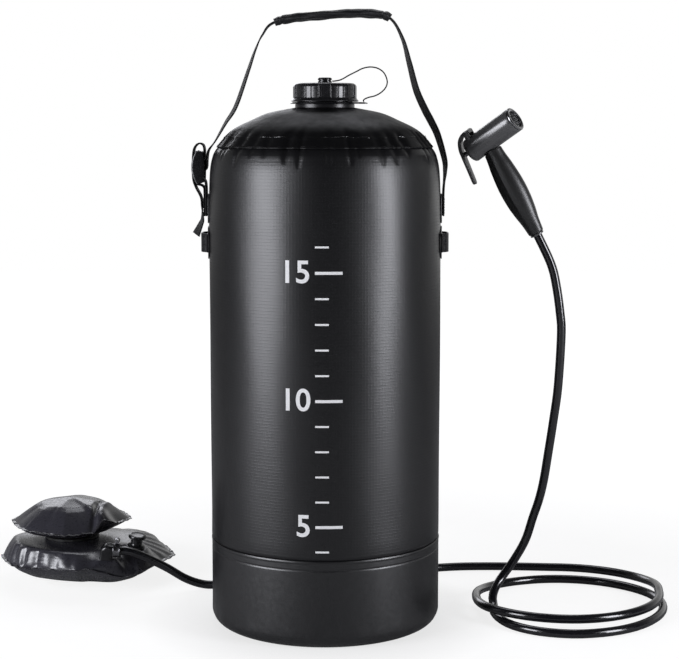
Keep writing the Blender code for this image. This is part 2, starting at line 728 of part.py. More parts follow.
def ladder_lock():
    """The moulded frame whose three slots hold the anchor webbing and the strap's double turn."""
    half = LOCK_W / 2
    low, high = LOCK_Z
    ease = LOCK_EASE
    outline = [(-half + ease, low), (half - ease, low), (half, low + ease), (half, high - ease),
               (half - ease, high), (-half + ease, high), (-half, high - ease), (-half, low + ease)]
    reach = STRAP_W / 2 + SLOT_EXTRA / 2
    holes = [[(-reach, a), (reach, a), (reach, b), (-reach, b)] for a, b in LOCK_SLOTS]
    at = Matrix(((0, 0, 1, LOCK_X), (1, 0, 0, 0), (0, 1, 0, 0), (0, 0, 0, 1)))
    return plate("ladder_lock", [outline, *holes], LOCK_T, MOULDED, at)


def wall_patch(name, side, half_y, low, high, stand_off):
    """A thin patch that follows the wall round to half_y each side of the left or right."""
    radius = BAG_R + stand_off + PATCH_T / 2
    angles = np.linspace(-math.asin(half_y / radius), math.asin(half_y / radius), PATCH_POINTS)
    points = [(side * radius * math.cos(a), side * radius * math.sin(a), (low + high) / 2) for a in angles]
    ribbon(name, points, [(0.0, 0.0, 1.0)] * len(points), high - low, PATCH_T, WELD_FILM)


def holder_loop(name, side):
    """A band that stands off the wall, through which the shower head's handle drops."""
    foot = BAG_R + GAP + PATCH_T + GAP + LOOP_T / 2
    half = [(foot + LOOP_OUT * share, y) for share, y in LOOP_SHAPE]
    half += [(math.sqrt(foot ** 2 - y ** 2), y) for y in LOOP_FOOT]
    route = [(x, -y) for x, y in reversed(half[1:])] + half
    points = [(side * x, y, LOOP_Z) for x, y in smooth(route, LOOP_STEP)]
    ribbon(name, points, [(0.0, 0.0, 1.0)] * len(points), LOOP_H, LOOP_T, WELD_FILM)


def wall_fittings():
    """The patches under the handle's ends and the two holder loops on theirs."""
    for side, word in ((-1, "left"), (1, "right")):
        wall_patch(word + "_handle_patch", side, *ANCHOR_PATCH, GAP)
        wall_patch(word + "_loop_patch", side, *LOOP_PATCH, GAP)
        holder_loop(word + "_holder_loop", side)


def elbow_body(name, frame, reach, tail, tail_length, radius, foot):
    """A bent pipe: along the frame's z from foot to reach, then out along the tail. Returns the tail's
    end, and a frame at the bend with z along the tail."""
    past = 0.001
    corner = frame @ Vector((0.0, 0.0, reach))
    way_in = frame.to_3x3() @ Vector((0.0, 0.0, 1.0))
    start_at = place(corner, way_in)
    out_at = place(corner, tail, side=(0.0, 0.0, 1.0))
    body = rod(name, radius, foot - reach, 0.0, 14, MOULDED, start_at)
    mesh = bpy.data.meshes.new(name + "_knuckle")
    shape = bmesh.new()
    bmesh.ops.create_uvsphere(shape, u_segments=14, v_segments=8, radius=radius * KNUCKLE_SHARE)
    shape.to_mesh(mesh)
    shape.free()
    knuckle = add(name + "_knuckle", mesh, None)
    knuckle.matrix_world = out_at
    cut(body, knuckle, "UNION")
    cut(body, rod(name + "_tail", radius * TAIL_SHARE, 0.0, tail_length, 14, None, out_at), "UNION")
    cut(body, rod(name + "_bore_in", PORT_BORE, foot - reach - past, PORT_BORE * 0.6, 12, None, start_at))
    cut(body, rod(name + "_bore_out", PORT_BORE * 0.96, 0.0, tail_length + past, 11, None, out_at))
    end = corner + Vector(tail).normalized() * tail_length
    return end, out_at


def clamp(word, out_at, tail_length, radius):
    """A hose clamp round a tail's end: its band, and the screw that lies across the band."""
    high = tail_length - CLAMP_INSET
    ring(word + "_clamp_band", radius + GAP, radius + GAP + CLAMP_T, high - CLAMP_W, high,
         SMALL_STEPS, STEEL, at=out_at)
    middle = high - CLAMP_W / 2
    screw_at = out_at @ Matrix.Translation((0.0, radius + 2 * GAP + CLAMP_T + SCREW_R, middle))
    screw_at = screw_at @ Matrix.Rotation(math.pi / 2, 4, "Y")
    rod(word + "_clamp_screw", SCREW_R, -SCREW_L / 2, SCREW_L / 2, 12, STEEL, screw_at)


def port(word, side, tail):
    """One of the two fittings through the base cup, with its nut, elbow and hose clamp."""
    frame = port_frame(side)
    flange_low = GAP
    flange_high = flange_low + PORT_FLANGE_T
    hub_top = flange_high + HUB_L
    profile = [(PORT_BORE, hub_top), (HUB_R, hub_top), (HUB_R, flange_high), (PORT_FLANGE_R, flange_high),
               (PORT_FLANGE_R, flange_low), (PORT_SPIGOT_R, flange_low), (PORT_SPIGOT_R, -PORT_IN),
               (PORT_BORE, -PORT_IN)]
    turned(word + "_flange", profile, SMALL_STEPS, MOULDED, closed=True, at=frame)
    nut_high = -FILM - GAP - WALL_SAG
    flat_share = math.cos(math.pi / 6)
    ring(word + "_locknut", (PORT_SPIGOT_R + GAP) / flat_share, LOCKNUT_R, nut_high - LOCKNUT_T, nut_high, 6,
         MOULDED, at=frame)
    nut_low = flange_high + RUNNING
    nut = ring(word + "_nut", HUB_R + GAP, NUT_R, nut_low, nut_low + NUT_L, 16, MOULDED, at=frame,
               ease=NUT_EASE)
    foot = hub_top + GAP
    end, out_at = elbow_body(word + "_elbow", frame, ELBOW_REACH, tail, TAIL_L, ELBOW_R, foot)
    clamp(word, out_at, TAIL_L, ELBOW_R * TAIL_SHARE)
    if word == "air":
        low = -PORT_IN + CHECK_INSET
        high = low + CHECK_L
        profile = [(0.0, high), (PORT_BORE - GAP, high), (PORT_BORE - GAP, high - CHECK_RIM),
                   (CHECK_TIP_R, low), (0.0, low)]
        turned("air_check_valve", profile, 14, RUBBER, at=frame)
    carry(empty(word + "_nut_axis", frame), nut)
    return end


def polygon_radius(half, angle):
    """The radius at an angle of an eight-sided outline with rounded corners."""
    sector = 2 * math.pi / SIDES
    off = (angle + sector / 2) % sector - sector / 2
    sharp = half / math.cos(off)
    return sharp * (1 - ROUNDING) + half * ROUND_SHARE * ROUNDING


def pillow_z(centre, half, heights, at):
    """The height of a pillow's upper face at a place on plan."""
    dx = at[0] - centre[0]
    dy = at[1] - centre[1]
    share = min(1.0, math.hypot(dx, dy) / polygon_radius(half, math.atan2(dy, dx)))
    rise = math.sqrt(1 - share ** (2 / FULLNESS))
    return heights[1] + (heights[2] - heights[1]) * rise ** CROWN


def pillow(name, centre, half, heights, look):
    """An eight-sided air cushion: a skin that swells above and below its welded rim."""
    low, rim, high = heights
    mesh = bpy.data.meshes.new(name)
    shape = bmesh.new()
    bmesh.ops.create_uvsphere(shape, u_segments=24, v_segments=10, radius=1.0)
    for vertex in shape.verts:
        x, y, z = vertex.co
        flat = min(1.0, math.hypot(x, y))
        angle = math.atan2(y, x)
        reach = polygon_radius(half, angle) * flat ** FULLNESS
        rise = abs(z) ** CROWN
        height = rim + (high - rim) * rise if z > 0 else rim - (rim - low) * min(1.0, rise * FLATTENED)
        vertex.co = (centre[0] + reach * math.cos(angle), centre[1] + reach * math.sin(angle), height)
    shape.to_mesh(mesh)
    shape.free()
    made = add(name, mesh, look)
    skin = made.modifiers.new("skin", "SOLIDIFY")
    skin.thickness = SKIN
    skin.offset = -1.0
    return made


def surface_frame(at):
    """A frame on the lower bladder's upper face at a place on plan, with z along its normal."""
    step = SLOPE_STEP

    def z(dx, dy):
        return pillow_z(BLADDER, BLADDER_HALF, BLADDER_Z, (at[0] + dx, at[1] + dy))

    slope_x = (z(step, 0) - z(-step, 0)) / (2 * step)
    slope_y = (z(0, step) - z(0, -step)) / (2 * step)
    normal = Vector((-slope_x, -slope_y, 1.0)).normalized()
    return place((at[0], at[1], z(0, 0)), normal)


def foot_pump():
    """The two air cushions with what joins them, the intake valve and the outlet."""
    bladder = pillow("pump_bladder", BLADDER, BLADDER_HALF, BLADDER_Z, PUMP_FILM)
    cushion = pillow("pump_cushion", CUSHION, CUSHION_HALF, CUSHION_Z, PUMP_FILM)
    airway = Matrix.Translation((*CUSHION, 0.0))
    shared_low = BLADDER_Z[2] - AIRWAY_DEPTH
    shared_high = CUSHION_Z[0] + AIRWAY_DEPTH
    cut(bladder, rod("bladder_airway", AIRWAY_R, shared_low, shared_high, SMALL_STEPS, None, airway))
    cut(cushion, rod("cushion_airway", AIRWAY_R, shared_low, shared_high, SMALL_STEPS, None, airway))
    ring("pump_joining_ring", AIRWAY_R + GAP, JOIN_R, BLADDER_Z[2] + GAP, CUSHION_Z[0] - GAP,
         SMALL_STEPS, WELD_FILM, at=airway)
    foam_low = CUSHION_Z[0] + SKIN + GAP
    foam_high = CUSHION_Z[2] - SKIN - FOAM_INSET
    foam = rod("pump_foam", FOAM_R, foam_low, foam_high, 16, FOAM_LOOK, airway)
    axis = empty("pump_axis", Matrix.Translation((*CUSHION, CUSHION_Z[0])))
    carry(axis, cushion, foam)
    intake_valve()


def intake_valve():
    """The round valve that lets air into the pump, with its flap and its hinged cap."""
    frame = surface_frame(INTAKE_AT)
    low = SEAT_SAG
    collar = low + INTAKE_COLLAR
    seat = low + INTAKE_SEAT
    profile = [(INTAKE_BORE, INTAKE_H), (INTAKE_TUBE_R, INTAKE_H), (INTAKE_TUBE_R, collar),
               (INTAKE_R, collar), (INTAKE_R, low), (INTAKE_HOLE_R, low), (INTAKE_HOLE_R, seat),
               (INTAKE_BORE, seat)]
    turned("pump_intake_seat", profile, SMALL_STEPS, MOULDED, closed=True, at=frame)
    rod("pump_intake_flap", INTAKE_BORE - GAP, seat + GAP, seat + GAP + FLAP_T, 16, RUBBER, frame)
    cap_low = INTAKE_H + GAP
    cap_high = cap_low + INTAKE_CAP_T
    plug_low = cap_low - INTAKE_PLUG_L
    profile = [(0.0, cap_high), (INTAKE_R - INTAKE_EASE, cap_high), (INTAKE_R, cap_high - INTAKE_EASE),
               (INTAKE_R, cap_low), (INTAKE_PLUG_R, cap_low), (INTAKE_PLUG_R, plug_low), (0.0, plug_low)]
    lid = turned("pump_intake_cap", profile, SMALL_STEPS, MOULDED, at=frame)
    hinge = frame @ Matrix.Translation((-INTAKE_R - INTAKE_HINGE_OUT, 0.0, cap_low))
    carry(empty("intake_hinge", hinge), lid)


def pump_outlet():
    """The elbow that leaves the lower bladder, and its hose clamp."""
    frame = surface_frame(PUMP_OUT_AT)
    end, out_at = elbow_body("pump_elbow", frame, PUMP_OUT_REACH, PUMP_OUT_TAIL, PUMP_TAIL_L, PUMP_ELBOW_R,
                             PUMP_OUT_FOOT)
    clamp("pump", out_at, PUMP_TAIL_L, PUMP_ELBOW_R * TAIL_SHARE)
    return end


def hose_ends(end, tail):
    """The first two points of a hose that leaves a tail: a straight stretch one diameter long."""
    way = Vector(tail).normalized()
    return [tuple(end + way * GAP), tuple(end + way * (GAP + HOSE_D))]


def coil_points():
    """Two piled laps of hose: radius and height follow stages by the angle turned from the back."""
    stages = np.array(COIL_STAGES, float)
    angles = np.arange(0, COIL_END + COIL_STEP, COIL_STEP)
    eased = smooth(stages, 1.0, measured=1)
    radius = np.interp(angles, eased[:, 0], eased[:, 1])
    height = np.interp(angles, eased[:, 0], eased[:, 2])
    turn = np.radians(90 - angles)
    return np.stack([COIL_AT[0] + radius * np.cos(turn), COIL_AT[1] + radius * np.sin(turn),
                     np.maximum(height, FLOOR_Z)], axis=1)


def least_gap(points, diameter, apart):
    """The least clear distance between stretches of a tube that lie apart along it."""
    fine = np.vstack([points[i] + (points[i + 1] - points[i]) * t for i in range(len(points) - 1)
                      for t in np.linspace(0.0, 1.0, 8, endpoint=False)])
    along = np.concatenate([[0.0], np.cumsum(np.linalg.norm(np.diff(fine, axis=0), axis=1))])
    gap = np.linalg.norm(fine[:, None] - fine[None], axis=2) - diameter
    far = np.abs(along[:, None] - along[None]) > apart
    return float(gap[far].min())


def straight_out(points, at_start, length):
    """The point that carries a line on straight past its start or its end by a length."""
    a, b = (points[0], points[1]) if at_start else (points[-1], points[-2])
    way = (a - b) / np.linalg.norm(a - b)
    return a + way * length


def hoses(outlet_end, air_end, pump_end, head):
    """The pump hose, and the shower hose as a run, a coil and a riser that meet end to end."""
    route = hose_ends(pump_end, PUMP_OUT_TAIL) + list(PUMP_HOSE) + hose_ends(air_end, AIR_TAIL)[::-1]
    tube("pump_hose", hose_line(route), HOSE_D / 2, HOSE_LOOK)
    coil = coil_points()
    tube("shower_hose_coil", coil, HOSE_D / 2, HOSE_LOOK, 1)
    print("coil: least gap to itself", round(least_gap(coil, HOSE_D, HALF_LAP) * 1000, 2), "mm")
    meet = [straight_out(coil, True, GAP), straight_out(coil, True, GAP + HOSE_D)]
    route = hose_ends(outlet_end, OUTLET_TAIL) + list(RUN) + [tuple(p) for p in reversed(meet)]
    run = hose_line(route)
    tube("shower_hose_run", run, HOSE_D / 2, HOSE_LOOK)
    meet = [straight_out(coil, False, GAP), straight_out(coil, False, GAP + HOSE_D)]
    top_z = COLLAR_L - GAP
    top = [head @ Vector((0.0, 0.0, z)) for z in (top_z - HOSE_D, top_z)]
    riser = hose_line([*[tuple(p) for p in meet], *RISER, *[tuple(p) for p in top]])
    tube("shower_hose_riser", riser, HOSE_D / 2, HOSE_LOOK)
    for name, points in (("run", run), ("coil", coil), ("riser", riser)):
        length = np.linalg.norm(np.diff(points, axis=0), axis=1).sum()
        print("shower hose", name, round(float(length) * 1000), "mm")


def head_frame():
    """The shower head's frame, from the handle's direction and the spray's."""
    up = Vector(HANDLE_UP).normalized()
    spray = Vector(SPRAY_WAY)
    forward = (spray - up * spray.dot(up)).normalized()
    side = up.cross(forward)
    return Matrix.Translation(Vector(HEAD_AT)) @ Matrix((forward, side, up)).transposed().to_4x4()


def handle_rings(shrink, low, high):
    """Oval rings of the head's handle between two heights, drawn in by shrink."""
    heights = [z for z, _ in HANDLE_SHAPE]
    halves = [h for _, h in HANDLE_SHAPE]
    rings = []
    for z in np.linspace(low, high, HANDLE_RINGS):
        half = float(np.interp(z, heights, halves)) - shrink
        rings.append([(half * math.cos(a), half * HANDLE_DEPTH * math.sin(a), z)
                      for a in np.linspace(0.0, 2 * math.pi, 16, endpoint=False)])
    return rings


def head_handle(head, barrel_frame):
    """The handle's moulded core with its waterway, and the soft sleeve moulded round it."""
    past = 0.010
    top = HANDLE_SHAPE[-1][0]
    core = surface("head_core", handle_rings(GRIP_SKIN + GAP, COLLAR_L, top), HEAD_GREY)
    core.matrix_world = head
    cut(core, rod("barrel_seat", BARREL_R + GAP, -past, BARREL_L + past, ROUND_STEPS, None, barrel_frame))
    cut(core, rod("core_waterway", PORT_BORE, -past, top + past, 12, None, head))
    low, high = GRIP_SPAN
    grip = surface("head_grip", handle_rings(0.0, low, high), SOFT_GRIP)
    grip.matrix_world = head
    hollow = surface("grip_hollow", handle_rings(GRIP_SKIN, low - past, high + past), None)
    hollow.matrix_world = head
    cut(grip, hollow)
    collar = ring("hose_collar", HOSE_D / 2 + GAP, HANDLE_SHAPE[0][1], -COLLAR_L, COLLAR_L - GAP,
                  SMALL_STEPS, HEAD_GREY, at=head, ease=COLLAR_EASE)
    return core, grip, collar


def head_barrel(barrel_frame, head):
    """The head's body with its valve chamber, and the ears that carry the lever's pin."""
    bore = BARREL_R - BARREL_WALL
    seat = BARREL_L - FACE_SEAT
    ease = BARREL_EASE
    profile = [(BARREL_R - ease, BARREL_L), (BARREL_R, BARREL_L - ease), (BARREL_R, ease),
               (BARREL_R - ease, 0.0), (STEM_R + GAP, 0.0), (STEM_R + GAP, REAR_WALL), (bore, REAR_WALL),
               (bore, seat), (bore + FACE_STEP, seat), (bore + FACE_STEP, BARREL_L)]
    barrel = turned("head_barrel", profile, ROUND_STEPS, HEAD_GREY, closed=True, at=barrel_frame)
    pivot = head @ Matrix.Translation((LEVER_PIVOT[0], 0.0, LEVER_PIVOT[1]))
    inner = LEVER_W / 2 + RUNNING
    for sign in (-1, 1):
        near, far = sorted((sign * inner, sign * (inner + EAR_T)))
        ear = box("ear", (-EAR_HALF, near, EAR_Z[0]), (EAR_HALF, far, EAR_Z[1]), None, pivot)
        cut(barrel, ear, "UNION")
    bar = pivot @ Matrix.Rotation(math.pi / 2, 4, "X")
    cut(barrel, rod("pin_hole", PIN_R + GAP, -BAR_HALF, BAR_HALF, 12, None, bar))
    cut(barrel, rod("barrel_waterway", PORT_BORE, GRIP_SPAN[1], BARREL_AT[1], 12, None, head))
    pin = rod("lever_pin", PIN_R, -inner - EAR_T, inner + EAR_T, 12, STEEL, bar)
    return barrel, pin, pivot, bar


def spray_face(barrel_frame):
    """The perforated plate and the bright ring round it."""
    outline = circle(BARREL_R - BARREL_WALL + FACE_STEP - GAP, ROUND_STEPS)
    holes = []
    for count, reach in SPRAY_ROWS:
        holes += [circle(SPRAY_HOLE_R, 6, middle) for middle in circle(reach, count)]
    low = BARREL_L - FACE_SEAT + GAP
    at = barrel_frame @ Matrix.Translation((0.0, 0.0, low + PLATE_T / 2))
    face = plate("spray_plate", [outline, *holes], PLATE_T, HEAD_GREY, at)
    low = BARREL_L + GAP
    rim = ring("face_ring", BARREL_R - FACE_RING_IN, BARREL_R, low, low + FACE_RING_W, ROUND_STEPS, STEEL,
               at=barrel_frame, ease=FACE_RING_EASE)
    return face, rim


def trigger(head, pivot, bar):
    """The lever behind the head: a bent plate on its pin."""
    route = smooth(LEVER, LEVER_STEP)
    along = np.gradient(route, axis=0)
    along /= np.linalg.norm(along, axis=1)[:, None]
    normal = np.stack([-along[:, 1], along[:, 0]], axis=1)
    near = route + normal * LEVER_T / 2
    far = route - normal * LEVER_T / 2
    tip = route[-1] + along[-1] * LEVER_T * LEVER_ROUND
    top = route[0] - along[0] * LEVER_T * LEVER_ROUND
    outline = [tuple(p) for p in near] + [tuple(tip)] + [tuple(p) for p in far[::-1]] + [tuple(top)]
    at = head @ Matrix(((1, 0, 0, 0), (0, 0, -1, 0), (0, 1, 0, 0), (0, 0, 0, 1)))
    lever = as_mesh(plate("trigger_lever", [outline], LEVER_W, HEAD_GREY, at))
    lever.data.materials.clear()
    lever.data.materials.append(finish("trigger_lever_finish", *HEAD_GREY))
    cut(lever, rod("lever_hole", PIN_R + GAP, -BAR_HALF, BAR_HALF, 12, None, bar))
    carry(empty("trigger_axis", pivot), lever)


def valve(barrel_frame):
    """The stem that the lever pushes, with its seal, and the spring that returns both."""
    chamber = REAR_WALL + GAP
    head_top = chamber + STEM_HEAD_T
    profile = [(0.0, head_top), (STEM_HEAD_R, head_top), (STEM_HEAD_R, chamber),
               (STEM_R, chamber), (STEM_R, -STEM_OUT), (0.0, -STEM_OUT)]
    stem = turned("valve_stem", profile, SMALL_STEPS, STEEL, at=barrel_frame)
    low = head_top + GAP
    seal_top = low + SEAL_T
    seal = ring("valve_seal", SEAL_BORE, SEAL_R, low, seal_top, SMALL_STEPS, RUBBER, at=barrel_frame)
    spring_low = seal_top + VALVE_TRAVEL + GAP + SPRING_WIRE / 2
    spring_high = BARREL_L - FACE_SEAT - STOP_ROOM
    steps = SPRING_TURNS * 8
    helix = []
    for i in range(steps + 1):
        turn = 2 * math.pi * i / 8
        z = spring_low + (spring_high - spring_low) * i / steps
        helix.append(barrel_frame @ Vector((SPRING_R * math.cos(turn), SPRING_R * math.sin(turn), z)))
    spring = tube("valve_spring", [tuple(p) for p in helix], SPRING_WIRE / 2, STEEL, 1)
    low = spring_high + SPRING_WIRE / 2 + GAP
    stop = ring("spring_stop", STOP_BORE, BARREL_R - BARREL_WALL - GAP, low, low + STOP_T, SMALL_STEPS,
                MOULDED, at=barrel_frame)
    carry(empty("stem_axis", barrel_frame), stem, seal)
    return spring, stop


def shower_head():
    """All of the shower head, hung on one empty. Returns its frame."""
    head = head_frame()
    tilt = Matrix.Rotation(math.pi / 2 - BARREL_TILT, 4, "Y")
    barrel_frame = head @ Matrix.Translation((BARREL_AT[0], 0.0, BARREL_AT[1])) @ tilt
    fixed = list(head_handle(head, barrel_frame))
    barrel, pin, pivot, bar = head_barrel(barrel_frame, head)
    fixed += [barrel, pin, *spray_face(barrel_frame), *valve(barrel_frame)]
    trigger(head, pivot, bar)
    carry(empty("shower_head", head), *fixed)
    return head


def main():
    start()
    base_cup()
    side_wall()
    top_dome()
    filler_neck()
    tether_ring()
    cap()
    cap_tether()
    handle()
    wall_fittings()
    outlet_end = port("outlet", 1, OUTLET_TAIL)
    air_end = port("air", -1, AIR_TAIL)
    foot_pump()
    pump_end = pump_outlet()
    head = shower_head()
    hoses(outlet_end, air_end, pump_end, head)


main()
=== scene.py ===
"""Camp shower bag: how the welded 20-litre bag, its foot pump, hoses and shower head look.

Metres, in the frame of the CAD model: the bag stands on z = 0 with its axis on the origin and its front
towards -Y, the foot pump is at the back left and the hose coil at the right.
"""
import math
import bpy
import numpy as np
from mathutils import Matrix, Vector


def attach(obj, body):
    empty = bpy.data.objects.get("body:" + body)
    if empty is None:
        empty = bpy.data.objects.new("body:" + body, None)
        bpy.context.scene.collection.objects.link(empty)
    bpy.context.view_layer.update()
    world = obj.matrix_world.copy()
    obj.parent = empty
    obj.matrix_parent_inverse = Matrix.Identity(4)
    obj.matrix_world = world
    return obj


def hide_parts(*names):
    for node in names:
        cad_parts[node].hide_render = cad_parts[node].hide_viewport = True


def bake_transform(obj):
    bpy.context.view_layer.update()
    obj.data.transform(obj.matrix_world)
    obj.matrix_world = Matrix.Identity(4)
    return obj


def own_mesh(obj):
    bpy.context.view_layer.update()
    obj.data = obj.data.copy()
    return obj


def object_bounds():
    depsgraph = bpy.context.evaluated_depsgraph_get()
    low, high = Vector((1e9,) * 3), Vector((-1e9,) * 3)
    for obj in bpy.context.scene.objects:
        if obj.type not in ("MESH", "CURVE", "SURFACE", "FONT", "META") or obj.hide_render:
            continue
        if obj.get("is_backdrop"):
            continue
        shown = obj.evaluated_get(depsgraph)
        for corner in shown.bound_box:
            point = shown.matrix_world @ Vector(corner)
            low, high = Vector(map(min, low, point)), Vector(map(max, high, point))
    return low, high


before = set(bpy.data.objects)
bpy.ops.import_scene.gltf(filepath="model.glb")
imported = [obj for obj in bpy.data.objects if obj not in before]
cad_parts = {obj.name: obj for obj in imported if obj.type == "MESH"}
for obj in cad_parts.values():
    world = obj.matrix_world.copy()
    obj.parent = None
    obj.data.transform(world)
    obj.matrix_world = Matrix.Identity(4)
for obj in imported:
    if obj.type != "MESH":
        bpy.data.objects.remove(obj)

cad_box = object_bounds()


# Studio: the camera that took the photograph, two tall soft boxes at the sides, a weak lamp above, a panel
# behind, a pale floor and a white room behind the object. The camera's side of the room is darker.
CAMERA_AT = (0.0145, -1.70, 0.507)
CAMERA_DOWN = 7.03
SENSOR_W = 36.0
LENS = 90.13
# Each lamp: name, azimuth, reach, height, width, upright size and power.
LAMPS = (("left_soft_box", -58, 1.55, 0.50, 0.86, 0.86, 22.0),
         ("right_soft_box", 60, 1.55, 0.50, 0.48, 0.86, 17.0),
         ("top_lamp", 180, 1.30, 1.90, 1.20, 0.50, 5.0),
         ("back_panel", 198, 2.42, 1.10, 1.20, 0.75, 7.6))
LAMP_AIM = (0.0, 0.0, 0.30)
LAMP_COLOUR = (0.93, 0.94, 1.0)
# The room's glow by a direction's y, z and x: from, to, and the glow at both.
GLOW_BY_Y = (0.10, 0.75, 0.0, 0.72)
GLOW_BY_Z = (0.20, 0.60, 1.0, 0.12)
GLOW_BY_X = (-0.40, 0.40, 0.50, 1.20)
LEAST_GLOW = 0.025
FLOOR_HALF = 4.0
FLOOR_TONE = (0.46, 0.49)
FLOOR_DIMMED = -0.21
SPECKLE = 40.0
# What the camera sees the floor glow, by the distance from the bag's axis.
FLOOR_FAR = (0.45, 1.10, 0.84, 1.0)
# The close one lowers the glow in a narrow ring round the bag's foot: a painted contact shadow.
FLOOR_CONTACT_SHADE = (0.112, 0.190, 0.83, 1.0)

scene = bpy.context.scene
scene.view_settings.view_transform = "Standard"


def node(tree, kind, inputs=(), **settings):
    """A shader node with its settings; a value goes on its socket, and a socket is linked to it."""
    made = tree.nodes.new("ShaderNode" + kind)
    for key, value in settings.items():
        setattr(made, key, value)
    for socket, value in dict(inputs).items():
        if isinstance(value, bpy.types.NodeSocket):
            tree.links.new(value, made.inputs[socket])
        else:
            made.inputs[socket].default_value = value
    return made


def sums(tree, operation, first, second=0.0, third=0.0):
    """The output of a Math node over two or three sockets or numbers."""
    return node(tree, "Math", {0: first, 1: second, 2: third}, operation=operation).outputs[0]


def mapped(tree, value, start, end, low, high):
    """The output of a Map Range node: a value's start to end becomes low to high."""
    return node(tree, "MapRange", {0: value, 1: start, 2: end, 3: low, 4: high}).outputs[0]


def grey(tree, tone):
    """The output of a colour whose three channels are one tone."""
    return node(tree, "CombineColor", {0: tone, 1: tone, 2: tone}).outputs[0]


def placed(name, data):
    """A new object with its data, linked to the scene."""
    made = bpy.data.objects.new(name, data)
    scene.collection.objects.link(made)
    return made


def soft_box(name, azimuth, reach, height, width, tall, power):
    """An area lamp that faces the bag, azimuth degrees to the right of the camera's side."""
    lamp = placed(name, bpy.data.lights.new(name, "AREA"))
    angle = math.radians(azimuth)
    lamp.location = (reach * math.sin(angle), -reach * math.cos(angle), height)
    aim = Vector(LAMP_AIM) - lamp.location
    lamp.rotation_euler = aim.to_track_quat("-Z", "Y").to_euler()
    lamp.data.shape = "RECTANGLE"
    lamp.data.size = width
    lamp.data.size_y = tall
    lamp.data.energy = power
    lamp.data.color = LAMP_COLOUR
    lamp.visible_camera = False


eye = placed("camera", bpy.data.cameras.new("camera"))
eye.location = CAMERA_AT
eye.rotation_euler = (math.radians(90 - CAMERA_DOWN), 0.0, 0.0)
eye.data.sensor_width = SENSOR_W
eye.data.lens = LENS
scene.camera = eye
for lamp in LAMPS:
    soft_box(*lamp)

world = bpy.data.worlds.new("white_room")
scene.world = world
world.use_nodes = True
room = world.node_tree
room.nodes.clear()
rays = node(room, "LightPath")
way = node(room, "SeparateXYZ", {0: node(room, "TexCoord").outputs["Generated"]})
behind = mapped(room, way.outputs["Y"], *GLOW_BY_Y)
low = mapped(room, way.outputs["Z"], *GLOW_BY_Z)
right = mapped(room, way.outputs["X"], *GLOW_BY_X)
behind = sums(room, "MULTIPLY_ADD", sums(room, "MULTIPLY", behind, right), low, LEAST_GLOW)
seen = sums(room, "MAXIMUM", behind, rays.outputs["Is Camera Ray"])
back = node(room, "Background", {"Color": (1.0, 1.0, 1.0, 1.0), "Strength": seen})
room.links.new(back.outputs[0], node(room, "OutputWorld").inputs["Surface"])

floor_mesh = bpy.data.meshes.new("floor")
corners = [(x * FLOOR_HALF, y * FLOOR_HALF, 0.0) for x, y in ((-1, -1), (1, -1), (1, 1), (-1, 1))]
floor_mesh.from_pydata(corners, [], [(0, 1, 2, 3)])
floor = placed("floor", floor_mesh)
pale = bpy.data.materials.new("pale_floor")
pale.use_nodes = True
tree = pale.node_tree
tree.nodes.clear()
rays = node(tree, "LightPath")
at = node(tree, "TexCoord").outputs["Object"]
speckle = node(tree, "TexNoise", {"Vector": at, "Scale": SPECKLE}).outputs[0]
tone = mapped(tree, speckle, 0.0, 1.0, *FLOOR_TONE)
tone = sums(tree, "MULTIPLY_ADD", rays.outputs["Is Camera Ray"], FLOOR_DIMMED, tone)
matt = node(tree, "BsdfDiffuse", {"Color": grey(tree, tone)})
far = node(tree, "VectorMath", {0: at}, operation="LENGTH").outputs["Value"]
# The glow the camera sees is lowered round the bag's foot: a painted contact shadow.
lift = sums(tree, "MULTIPLY", mapped(tree, far, *FLOOR_FAR), mapped(tree, far, *FLOOR_CONTACT_SHADE))
glow = node(tree, "Emission", {"Strength": sums(tree, "MULTIPLY", rays.outputs["Is Camera Ray"], lift)})
both = node(tree, "AddShader", {0: matt.outputs[0], 1: glow.outputs[0]})
tree.links.new(both.outputs[0], node(tree, "OutputMaterial").inputs["Surface"])
floor_mesh.materials.append(pale)
floor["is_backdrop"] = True


# Shower hose: one length of glossy black 9 mm hose. It leaves the bag's outlet at the back, lies on the
# floor to the right, piles up in two flat laps and climbs to the shower head.
HOSE_D = 0.0090
FLOOR_Z = 0.0048
OVER_Z = 0.0147
OUTLET_END = (0.04514, 0.13763, 0.02318)
OUTLET_OUT = (0.05351, 0.13943, 0.02039)
RUN = ((0.0750, 0.1495, 0.0118), (0.1000, 0.1625, 0.0060), (0.1250, 0.1735, FLOOR_Z),
       (0.1500, 0.1785, FLOOR_Z), (0.1800, 0.1800, FLOOR_Z), (0.2150, 0.1790, FLOOR_Z))
COIL_AT = (0.2535, 0.0450)
COIL_END = 600
COIL_STAGES = ((-60, 0.1330, FLOOR_Z), (0, 0.1310, FLOOR_Z), (50, 0.1135, 0.0092), (82, 0.1000, OVER_Z),
               (100, 0.0966, OVER_Z), (140, 0.0985, OVER_Z), (185, 0.1045, OVER_Z), (232, 0.1075, OVER_Z),
               (265, 0.0960, 0.0120), (300, 0.0895, 0.0065), (335, 0.0830, FLOOR_Z), (370, 0.0814, FLOOR_Z),
               (405, 0.0860, FLOOR_Z), (445, 0.0968, FLOOR_Z), (490, 0.1060, FLOOR_Z), (525, 0.1170, FLOOR_Z),
               (548, 0.1215, FLOOR_Z), (572, 0.1150, FLOOR_Z), (600, 0.0925, FLOOR_Z), (625, 0.0760, FLOOR_Z))
